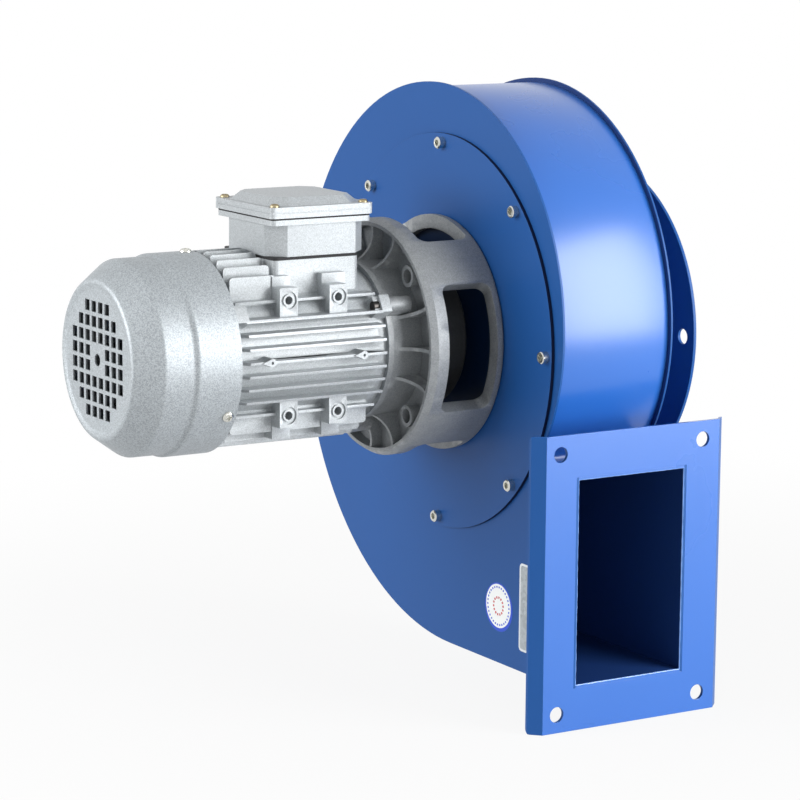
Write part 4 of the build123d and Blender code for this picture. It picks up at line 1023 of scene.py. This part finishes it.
@dataclass
class ScrollCasing:
    """The welded casing: wrapper, side plates, flanges, collar, cone and motor plate."""

    base: float = 15.0
    radii: tuple[float, float, float, float] = (160.0, 190.0, 220.0, 250.0)
    reach: float = 204.0
    roof: float = -94.0
    nose_r: float = 10.0
    run_gap: float = 0.5
    turn_gap: float = 0.02
    sheet: float = 2.0
    sheet_edge_r: float = 0.4
    back_y: float = -162.0
    front_y: float = -57.0
    collar_r: float = 100.0
    collar_end_y: float = -55.0
    collar_bevels: Point = (0.3, 0.4)
    flange_back_y: float = -3.0
    cone_lip_r: float = 112.0
    cone_mouth_r: float = 98.0
    cone_throat_r: float = 73.0
    cone_depth: float = 27.0
    cone_end_y: float = -88.0
    cone_sheet: float = 1.5
    weld_r: float = 1.3
    weld_lift: float = 0.5
    mouth_seam_r: float = 0.7
    mouth_seam_depth: float = 0.9
    fold_r: float = 9.0
    fold_shifts: Point = (1.8, 1.3)
    screw_circle: float = 161.0
    motor_face: float = -167.0
    plate_edge: float = 0.45
    outlet_edge: float = 0.6
    inlet_edge: float = 0.5
    motor_plate_edge: float = 0.3
    screw: ScrewHead = ScrewHead(
        head_r=5.0, head_h=6.0, shank_r=3.0, shank_l=11.5, recess_r=2.9, recess_depth=3.0,
        drive=Drive.SOCKET,
    )

    @property
    def floor(self) -> float:
        """Height of the duct's floor, where the scroll's last arc ends."""
        return -self.base - self.radii[3]

    def path(self) -> tuple[np.ndarray, np.ndarray]:
        """Lay the wrapper's inner line from the outlet's roof round to its floor.

        The roof runs to a nose, whose outward direction is towards its centre. Four arcs of
        growing radius follow, and the floor. Small gaps keep neighbouring ends apart.

        Returns:
            Points and outward directions, in X and Z.
        """
        base, first = self.base, self.radii[0]
        nose_z = self.roof + self.nose_r
        nose_x = base + math.sqrt((first + self.nose_r) ** 2 - (nose_z - base) ** 2)
        touch = math.atan2(nose_z - base, nose_x - base)
        half, gap = math.pi / 2, self.turn_gap
        runs = [
            straight((self.reach, self.roof), (nose_x + self.run_gap, self.roof), (0, 1), 8),
            bend((nose_x, nose_z), self.nose_r, (3 * half, touch + math.pi), -1, 20),
            bend((base, base), first, (touch + gap / 2, 0), 1, 24),
            bend((-base, base), self.radii[1], (gap, half), 1, 56),
            bend((-base, -base), self.radii[2], (half + gap, 2 * half), 1, 60),
            bend((base, -base), self.radii[3], (2 * half + gap, 3 * half), 1, 64),
            straight((base + 2 * self.run_gap, self.floor), (self.reach, self.floor), (0, -1), 24),
        ]
        points, outs = zip(*runs)
        return np.concatenate(points), np.concatenate(outs)

    def wrapper(self) -> bpy.types.Object:
        """Make the sheet wrapper: a strip with rounded edges carried along the scroll's line.

        Returns:
            The wrapper.
        """
        line, out = self.path()
        width, middle = self.front_y - self.back_y, (self.front_y + self.back_y) / 2
        strip = rounded_loop(self.sheet, width, self.sheet_edge_r, 3)
        points = carry(line, out, strip[:, 0] + self.sheet / 2, strip[:, 1] + middle)
        return surface("wrapper_sheet", points, capped=True)

    def faces_in(self, centre: np.ndarray, normal: np.ndarray) -> np.ndarray:
        """Pick the wrapper's faces that look into the scroll or its duct.

        A face looks in when its normal points against the outward direction of the nearest
        point of the line, to a cosine under -0.7.

        Args:
            centre: Centres of the faces, in millimetres.
            normal: Their normals.

        Returns:
            Whether each face looks in.
        """
        line, out = self.path()
        flat = centre[:, [0, 2]]
        nearest = np.argmin(((flat[:, None, :] - line[None, :, :]) ** 2).sum(axis=-1), axis=1)
        return (normal[:, [0, 2]] * out[nearest]).sum(axis=-1) < -0.7

    def collar_weld(self, name: str, y: float, side: float, steps: int = 360) -> bpy.types.Object:
        """Lay a weld bead round the collar, in the corner with a plate or flange.

        Args:
            name: Name of the piece.
            y: Place of the corner along Y.
            side: Sign of the side in Y that the bead lies on.
            steps: Steps round the collar.

        Returns:
            The bead.
        """
        angle = np.linspace(0, FULL_TURN, steps, endpoint=False)
        ray = np.stack([np.cos(angle), np.sin(angle)], axis=-1)
        across, along = seam_section(self.weld_r, steps, 10, ((0.10, 2.1), (0.05, 0.37)))
        points = carry(
            self.collar_r * ray, ray, self.weld_lift + across, y + side * (self.weld_lift + along)
        )
        return surface(name, points, along=True)

    def mouth_seam(self, steps: int = 60) -> bpy.types.Object:
        """Lay the paint-filled seam round the duct's mouth: a section along a rectangle.

        Args:
            steps: Steps along each side.

        Returns:
            The seam.
        """
        low, high = np.array([self.back_y, self.floor]), np.array([self.front_y, self.roof])
        corners = np.array([low, (low[0], high[1]), high, (high[0], low[1])])
        share = np.linspace(0, 1, steps, endpoint=False)[:, None]
        ends = zip(corners, np.roll(corners, -1, axis=0))
        line = np.concatenate([start + share * (end - start) for start, end in ends])
        offset = (low + high) / 2 - line
        inward = np.sign(offset) * (np.abs(offset) > (high - low) / 2 - 0.1)
        waves = ((0.12, 1.7), (0.08, 0.31))
        across, along = seam_section(self.mouth_seam_r, len(line), 8, waves)
        points = carry(line, inward, across, self.reach - self.mouth_seam_depth + along)
        return surface("duct_mouth_seam", points[..., [1, 0, 2]], along=True)

    def flat_folds(self, points: np.ndarray) -> np.ndarray:
        """Flatten the round folds of the outlet flange to bevels with crisp edges.

        A corner of a fold lies at a radius and a turn about the fold's axis, from the face's
        normal to the lip's. With t as the turn over a right angle, it moves to the radius times
        one minus t along the face's normal and the radius times t along the lip's. Each fold
        then moves a little along Y.

        Args:
            points: Corners of the flange, in millimetres.

        Returns:
            The moved corners.
        """
        moved = points.copy()
        forward = points[:, 0] - points[:, 0].max() + self.fold_r
        for side, shift in zip((-1.0, 1.0), self.fold_shifts):
            outward = side * points[:, 1] - (side * points[:, 1]).max() + self.fold_r
            fold = (forward >= 0) & (outward >= 0)
            radius = np.hypot(forward, outward)
            share = np.arctan2(outward, forward) / (np.pi / 2)
            moved[fold, 0] += (radius * (1 - share) - forward)[fold]
            moved[fold, 1] += side * (radius * share - outward)[fold]
            moved[outward > -0.01, 1] += shift
        return moved

    def collar(self) -> bpy.types.Object:
        """Turn the inlet collar: a tube with bevelled ends, the mouth's bevel the larger one.

        Returns:
            The collar.
        """
        inner, outer, end = self.collar_r - self.sheet, self.collar_r, self.collar_end_y
        rear, mouth = self.collar_bevels
        profile = [
            (inner, end + rear),
            (inner, -mouth),
            (inner + mouth, 0.0),
            (outer - mouth, 0.0),
            (outer, -mouth),
            (outer, end + rear),
            (outer - rear, end),
            (inner + rear, end),
        ]
        return turned("inlet_collar_sheet", profile, 160)

    def cone(self) -> bpy.types.Object:
        """Turn the inlet cone: a quarter-ellipse mouth into a straight throat.

        The mouth's radius falls to the throat's as one minus the sine of the quarter, while
        its place runs from the plate to the throat as one minus the cosine.

        Returns:
            The cone.
        """
        share = np.linspace(0, np.pi / 2, 22)
        inner_r = self.cone_mouth_r - (self.cone_mouth_r - self.cone_throat_r) * np.sin(share)
        inner_y = self.front_y - self.cone_depth * (1 - np.cos(share))
        outer_r = inner_r + self.cone_sheet * np.sin(share)
        outer_y = inner_y - self.cone_sheet * np.cos(share)
        profile = [
            (self.cone_lip_r, self.front_y),
            *zip(inner_r, inner_y),
            (self.cone_throat_r, self.cone_end_y),
            (self.cone_throat_r + self.cone_sheet, self.cone_end_y),
            *zip(outer_r[::-1], outer_y[::-1]),
            (self.cone_lip_r, self.front_y - self.cone_sheet),
        ]
        return turned("inlet_bellmouth", profile, 144)

    def build(self, shop: Workshop) -> None:
        """Make and place the casing.

        Args:
            shop: The workshop.
        """
        home = (Body.CASING, Slot.CASING)
        wrapper = self.wrapper()
        shop.fit(wrapper, Paint.BLUE, *home, ["scroll_wrapper"])
        # Faces inside the scroll and duct get painted shade.
        shop.line_faces(wrapper, Paint.BLUE_INSIDE_SHADE, self.faces_in)
        for name, side in (("front_side_plate", 1.0), ("rear_side_plate", -1.0)):
            # Side plates take the darker copy of the blue, a painted shade, with more painted
            # shade on their inner faces.
            plate = shop.refine(name, Paint.BLUE_SHADED, *home, self.plate_edge)
            shop.line_faces(
                plate,
                Paint.BLUE_INSIDE_SHADE,
                lambda centre, normal, side=side: normal[:, 1] * side > 0.9,
            )
        flange = shop.refine(
            "outlet_flange", Paint.BLUE, *home, self.outlet_edge, reshape=self.flat_folds
        )
        # The flange's fold faces, turned towards Y, take the darker copy: painted shade.
        shop.line_faces(
            flange, Paint.BLUE_SHADED, lambda centre, normal: np.abs(normal[:, 1]) > 0.4
        )
        # The inlet flange takes the darker copy of the blue: painted shade.
        shop.refine("inlet_flange", Paint.BLUE_SHADED, *home, self.inlet_edge)
        # The motor plate: the darker copy with painted shade inside the lantern, and a painted
        # shadow line on its rim.
        plate = shop.refine("motor_plate", Paint.BLUE_PLATE_SHADED, *home, self.motor_plate_edge)
        shop.line_faces(
            plate,
            Paint.BLUE_SHADOW_LINE,
            lambda centre, normal: (np.abs(normal[:, 1]) < 0.3)
            & (np.hypot(centre[:, 0], centre[:, 2]) > self.screw_circle),
        )
        shop.fit(self.collar(), Paint.BLUE, *home, ["inlet_collar"])
        shop.fit(self.cone(), Paint.BLUE, *home, ["inlet_cone"])
        shop.fit(self.collar_weld("collar_weld", self.collar_end_y, 1.0), Paint.BLUE, *home)
        shop.fit(self.collar_weld("flange_weld", self.flange_back_y, -1.0), Paint.BLUE, *home)
        # The mouth seam's lighter blue is a painted highlight.
        shop.fit(self.mouth_seam(), Paint.BLUE_HIGHLIGHT, *home)
        seats = seats_round(self.screw_circle, self.motor_face, range(0, 360, 45))
        screws = self.screw.row("motor_plate_socket_screws", seats, lambda seat: (0, -1, 0))
        shop.fit(screws, Paint.ZINC, Body.CASING, Slot.ZINC, ["motor_plate_screws"])
        shop.dress(["motor_plate_nuts", "lantern_screws"], Paint.ZINC)
        shop.dress(["shaft_seal"], Paint.RUBBER)


@dataclass
class CasingLabels:
    """The bare labels on the motor side of the casing: a round film and a metal plate."""

    face_y: float = -164.0
    film_half: float = 0.06
    round_at: Point = (91.4, -222.0)
    round_r: float = 18.8
    border: float = 2.1
    border_shift: Point = (0.5, -0.9)
    border_lift: float = 0.06
    film_lift: float = 0.14
    print_lift: float = 0.20
    blue_dashes: Point = (15.4, 17.0)
    blue_count: int = 30
    red_dashes: Point = (6.3, 8.3)
    red_count: int = 14
    plate_at: Point = (149.6, -215.5)
    plate_size: Point = (52.0, 75.0)
    plate_rise: float = 0.7
    plate_corner_r: float = 4.0
    field_margin: float = 2.0
    field_rise: float = 0.12
    field_corner_r: float = 2.4
    edge_drop: float = 0.12
    edge_inset: float = 0.15
    flat_inset: float = 3.0

    def strip(self, inner: float, outer: float, lift: float) -> list[Point]:
        """Section of a thin ring of film that stands a lift off the side plate."""
        low, high = self.face_y - lift - self.film_half, self.face_y - lift + self.film_half
        return [(inner, high), (outer, high), (outer, low), (inner, low)]

    def dashes(self, name: str, radii: Point, count: int, share: float) -> bpy.types.Object:
        """Make a ring of plain printed dashes, each a short arc of film.

        Dash k spans the angles from k to k plus the share, in steps of one turn over the
        count.

        Args:
            name: Name of the piece.
            radii: Inner and outer radius of the ring.
            count: Number of dashes.
            share: Share of its step that a dash takes up.

        Returns:
            The ring.
        """
        section = self.strip(*radii, self.print_lift)
        span = np.linspace(0, share, 4)
        arcs = []
        for index in range(count):
            points = turn_profile(section, (index + span) * FULL_TURN / count, self.round_at)
            arcs.append(surface(f"{name}_{index}", points, capped=True))
        return merge(name, arcs)

    def plate(
        self, name: str, width: float, height: float, corner: float, rise: float, lift: float
    ) -> bpy.types.Object:
        """Make a flat plate with rounded corners and a softened edge, as nested loops.

        Args:
            name: Name of the piece.
            width: Its size along X.
            height: Its size along Z.
            corner: Radius of its corners.
            rise: Its thickness.
            lift: Height of its back above the side plate.

        Returns:
            The plate.
        """
        loops = []
        steps = (
            (0.0, 0.0), (0.0, rise - self.edge_drop), (self.edge_inset, rise),
            (self.flat_inset, rise),
        )
        for inset, up in steps:
            loop = rounded_loop(width - 2 * inset, height - 2 * inset, max(0.4, corner - inset), 6)
            level = np.full(len(loop), self.face_y - lift - up)
            place = [loop[:, 0] + self.plate_at[0], level, loop[:, 1] + self.plate_at[1]]
            loops.append(np.stack(place, axis=-1))
        return surface(name, np.stack(loops) * MM, capped=True)

    def build(self, shop: Workshop) -> None:
        """Make and place the labels.

        Args:
            shop: The workshop.
        """
        edge = self.round_r
        behind = (self.round_at[0] + self.border_shift[0], self.round_at[1] + self.border_shift[1])
        back = self.strip(0.0, edge + self.border, self.border_lift)
        border = turned("label_border", back, 72, behind)
        film = turned("label_film", self.strip(0.0, edge, self.film_lift), 72, self.round_at)
        outer_marks = self.dashes("label_outer_dashes", self.blue_dashes, self.blue_count, 0.5)
        inner_marks = self.dashes("label_inner_dashes", self.red_dashes, self.red_count, 0.55)
        for piece, paint in (
            (border, Paint.LABEL_BLUE),
            (film, Paint.LABEL_WHITE),
            (outer_marks, Paint.LABEL_BLUE),
            (inner_marks, Paint.LABEL_RED),
        ):
            shop.fit(piece, paint, Body.CASING, Slot.CASING)
        size = np.array(self.plate_size)
        rim = self.plate("nameplate_rim", *size, self.plate_corner_r, self.plate_rise, 0.0)
        shop.fit(rim, Paint.NAMEPLATE_RIM, Body.CASING, Slot.ZINC)
        inner = size - 2 * self.field_margin
        bare = self.plate(
            "nameplate_field", *inner, self.field_corner_r, self.field_rise, self.plate_rise
        )
        shop.fit(bare, Paint.NAMEPLATE, Body.CASING, Slot.ZINC)


@dataclass
class DriveMotor:
    """The motor: shield, frame, cowl and what they hold."""

    cowl_r: float = 82.7
    cowl_screw_y: float = -411.0
    cowl_angles: tuple[float, ...] = (-30.0, 90.0, 210.0)
    shield_edge: float = 0.8
    frame_edge: float = 0.5
    cowl_edge: float = 0.3
    cowl_crease: float = 25.0
    fan_edge: float = 0.4
    screw: ScrewHead = ScrewHead(
        head_r=5.0, head_h=2.6, shank_r=2.5, shank_l=6.0, recess_r=2.6, recess_depth=1.6,
        drive=Drive.CROSS,
    )

    def build(self, shop: Workshop) -> None:
        """Make and place the motor.

        Args:
            shop: The workshop.
        """
        home = (Body.CASING, Slot.MOTOR)
        shield_home = (Body.CASING, Slot.SHIELD)
        # The shield's casting has painted shade inside the lantern and a painted highlight on its
        # pointed edges.
        shop.refine("drive_end_shield", Paint.CASTING, *shield_home, self.shield_edge)
        for name in ("motor_frame", "rear_end_shield"):
            shop.refine(name, Paint.SILVER, *home, self.frame_edge)
        shop.refine("fan_cowl", Paint.COWL, *home, self.cowl_edge, self.cowl_crease)
        seats = seats_round(self.cowl_r, self.cowl_screw_y, self.cowl_angles)
        screws = self.screw.row("cowl_pan_screws", seats, lambda seat: (seat[0], 0, seat[2]))
        shop.fit(screws, Paint.ZINC, Body.CASING, Slot.ZINC, ["cowl_screws"])
        # Dark steel on the end-shield screws is painted shade of their recesses.
        shop.dress(["drive_end_screws", "rear_end_screws"], Paint.DARK_STEEL_AND_SHADE)
        shop.dress(["preload_spring", "fan_clip"], Paint.DARK_STEEL_AND_SHADE)
        shop.dress(["stator_core", "rotor_core"], Paint.LAMINATION)
        shop.dress(["stator_windings"], Paint.COPPER)
        shop.dress(["rotor_end_rings"], Paint.ROTOR_ALLOY)
        for end in ("front", "rear"):
            bearing = [f"{end}_bearing_{part}" for part in ("outer", "inner", "balls")]
            shop.dress(bearing, Paint.POLISHED)
        shop.refine("cooling_fan", Paint.MOULDING, Body.ROTOR, Slot.SHAFT, self.fan_edge)


@dataclass
class TerminalBox:
    """The terminal box: body, lid, gaskets, screws and terminals."""

    mid_y: float = -311.1
    lid_top: float = 120.0
    screw_x: float = 42.5
    screw_y: float = 41.3
    box_edge: float = 0.6
    lid_edge: float = 0.2
    lid_crease: float = 12.0
    plug_edge: float = 0.5
    screw: ScrewHead = ScrewHead(
        head_r=4.0, head_h=2.4, shank_r=2.0, shank_l=15.0, recess_r=2.2, recess_depth=1.5,
        drive=Drive.CROSS,
    )

    def build(self, shop: Workshop) -> None:
        """Make and place the box.

        Args:
            shop: The workshop.
        """
        home = (Body.CASING, Slot.MOTOR)
        shop.refine("terminal_box", Paint.SILVER, *home, self.box_edge)
        shop.refine("terminal_box_lid", Paint.SILVER, *home, self.lid_edge, self.lid_crease)
        seats = [
            (side * self.screw_x, self.mid_y + end * self.screw_y, self.lid_top)
            for side in (-1, 1)
            for end in (-1, 1)
        ]
        screws = self.screw.row("lid_pan_screws", seats, lambda seat: (0, 0, 1))
        shop.fit(screws, Paint.BRASS, Body.CASING, Slot.BRASS, ["lid_screws"])
        shop.dress(["terminal_box_gasket", "terminal_lid_gasket"], Paint.RUBBER)
        shop.dress(["terminal_block"], Paint.MOULDING)
        shop.refine("cable_entry_plug", Paint.MOULDING, *home, self.plug_edge)
        shop.dress(["terminal_studs"], Paint.BRASS)
        shop.dress(["terminal_box_screws"], Paint.ZINC)


@dataclass
class Impeller:
    """The impeller with its fastening on the shaft, and the width of its rounded edges."""

    sheet_edge: float = 0.4
    blade_edge: float = 0.3
    hub_edge: float = 0.6
    shaft_edge: float = 0.5
    hardware_edge: float = 0.35

    def build(self, shop: Workshop) -> None:
        """Make and place the impeller.

        Args:
            shop: The workshop.
        """
        for name, edge in (
            ("impeller_backplate", self.sheet_edge),
            ("impeller_blades", self.blade_edge),
            ("impeller_shroud", self.sheet_edge),
            ("impeller_hub", self.hub_edge),
        ):
            shop.refine(name, Paint.SHEET_STEEL, Body.ROTOR, Slot.SHEET, edge)
        shop.refine("shaft", Paint.GROUND_STEEL, Body.ROTOR, Slot.SHAFT, self.shaft_edge)
        shop.dress(["impeller_key"], Paint.GROUND_STEEL)
        for name in ("impeller_washer", "impeller_bolt", "impeller_rivets"):
            shop.refine(name, Paint.ZINC, Body.ROTOR, Slot.ZINC, self.hardware_edge)


@dataclass(frozen=True)
class Softbox:
    """One rectangular lamp: its place, size and power in watts."""

    name: str
    place: Place
    size: Point
    power: float


@dataclass
class Studio:
    """Camera, lamps, pale floor and white surround."""

    camera_at: Place = (2.2090, -1.5528, 0.3995)
    azimuth: float = 58.649
    elevation: float = 9.997
    roll: float = 0.441
    lens: float = 139.03
    aim: Place = (0.02, -0.22, -0.02)
    lamps: tuple[Softbox, ...] = (
        Softbox("right_softbox", (1.77, 0.87, 0.48), (1.3, 1.64), 63.0),
        Softbox("left_softbox", (-0.6, -2.4, 0.7), (1.6, 1.6), 56.0),
        Softbox("top_softbox", (0.1, -0.5, 2.1), (1.4, 1.2), 2.0),
        Softbox("camera_fill", (2.6, -1.2, 0.1), (1.0, 1.0), 8.0),
    )
    ambient: float = 0.22
    floor_z: float = -0.3026
    floor_half: float = 6.0
    floor_tone: float = 0.6
    fade_from: float = 0.35
    fade_to: float = 1.1
    white_share: float = 0.90

    def camera(self) -> None:
        """Stand the camera where the photograph was taken from."""
        turn = math.radians(self.azimuth)
        lift = math.radians(self.elevation)
        roll = math.radians(self.roll)
        level = math.cos(lift)
        back = Vector((math.sin(turn) * level, -math.cos(turn) * level, math.sin(lift)))
        right = Vector((math.cos(turn), math.sin(turn), 0))
        up = back.cross(right)
        side = math.cos(roll) * right + math.sin(roll) * up
        top = -math.sin(roll) * right + math.cos(roll) * up
        data = bpy.data.cameras.new("photo_camera")
        data.lens = self.lens
        data.sensor_width = 36.0
        data.clip_start = 0.01
        camera = bpy.data.objects.new("photo_camera", data)
        basis = Matrix((side, top, back)).transposed().to_4x4()
        camera.matrix_world = Matrix.Translation(self.camera_at) @ basis
        bpy.context.scene.collection.objects.link(camera)
        bpy.context.scene.camera = camera

    def light(self) -> None:
        """Hang the softboxes, all aimed at the middle of the fan."""
        target = Vector(self.aim)
        for box in self.lamps:
            data = bpy.data.lights.new(box.name, "AREA")
            data.shape = "RECTANGLE"
            data.size, data.size_y = box.size
            data.energy = box.power
            lamp = bpy.data.objects.new(box.name, data)
            lamp.location = box.place
            aimed = (target - Vector(box.place)).to_track_quat("-Z", "Y")
            lamp.rotation_euler = aimed.to_euler()
            bpy.context.scene.collection.objects.link(lamp)

    @staticmethod
    def _seen(wiring: Wiring) -> bpy.types.NodeSocket:
        """Tell the rays that show the background: camera, glossy and transmission rays.

        Args:
            wiring: The wiring of the material or world that asks.

        Returns:
            The socket that is 1 for such a ray.
        """
        path = wiring.add("LightPath").outputs
        first = wiring.calculate("ADD", path["Is Camera Ray"], path["Is Glossy Ray"])
        return wiring.calculate("ADD", first, path["Is Transmission Ray"], clamp=True)

    def surround(self) -> None:
        """White to the eye and in reflections, soft grey as a source of light."""
        world = bpy.data.worlds.new("studio")
        bpy.context.scene.world = world
        world.use_nodes = True
        wiring = Wiring(world.node_tree)
        ambient = wiring.tree.nodes["Background"]
        wiring.feed(ambient, {"Color": WHITE, "Strength": self.ambient})
        white = wiring.add("Background", {"Color": WHITE, "Strength": 1.0})
        feeds = {0: self._seen(wiring), 1: ambient.outputs[0], 2: white.outputs[0]}
        mix = wiring.add("MixShader", feeds)
        wiring.feed(wiring.tree.nodes["World Output"], {"Surface": mix.outputs[0]})

    def floor(self) -> None:
        """Pale floor that keeps the fan's shadow and fades into the white surround."""
        span = np.linspace(-self.floor_half, self.floor_half, 5)
        across, along = np.meshgrid(span, span, indexing="ij")
        points = np.stack([across, along, np.full_like(across, self.floor_z)], axis=-1)
        floor = surface("studio_floor", points, around=False)
        material = bpy.data.materials.new("pale floor")
        material.use_nodes = True
        wiring = Wiring(material.node_tree)
        shader = wiring.tree.nodes["Principled BSDF"]
        tone = (self.floor_tone, self.floor_tone, self.floor_tone, 1.0)
        wiring.feed(shader, {"Base Color": tone, "Roughness": 0.9})
        white = wiring.add("Emission", {"Color": WHITE, "Strength": 1.0})
        place = wiring.add("TexCoord").outputs["Object"]
        reach = wiring.add("VectorMath", {0: place}, operation="LENGTH")
        fade = wiring.add(
            "MapRange",
            {
                "Value": reach.outputs["Value"],
                "From Min": self.fade_from,
                "From Max": self.fade_to,
                "To Min": self.white_share,
                "To Max": 1.0,
            },
            interpolation_type="SMOOTHSTEP",
        )
        share = wiring.calculate("MULTIPLY", self._seen(wiring), fade.outputs[0])
        feeds = {0: share, 1: shader.outputs[0], 2: white.outputs[0]}
        mix = wiring.add("MixShader", feeds)
        wiring.feed(wiring.tree.nodes["Material Output"], {"Surface": mix.outputs[0]})
        floor.data.materials.append(material)

    def build(self) -> None:
        """Set up the studio."""
        self.camera()
        self.light()
        self.surround()
        self.floor()
        bpy.context.scene.view_settings.view_transform = "Standard"


def main() -> None:
    """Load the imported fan, dress it and set the studio round it."""
    logging.basicConfig(level=logging.INFO, format="%(message)s")
    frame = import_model()
    shop = Workshop(frame)
    for assembly in (ScrollCasing(), CasingLabels(), DriveMotor(), TerminalBox(), Impeller()):
        LOG.info("building %s", type(assembly).__name__)
        assembly.build(shop)
    Studio().build()


if __name__ == "__main__":
    main()
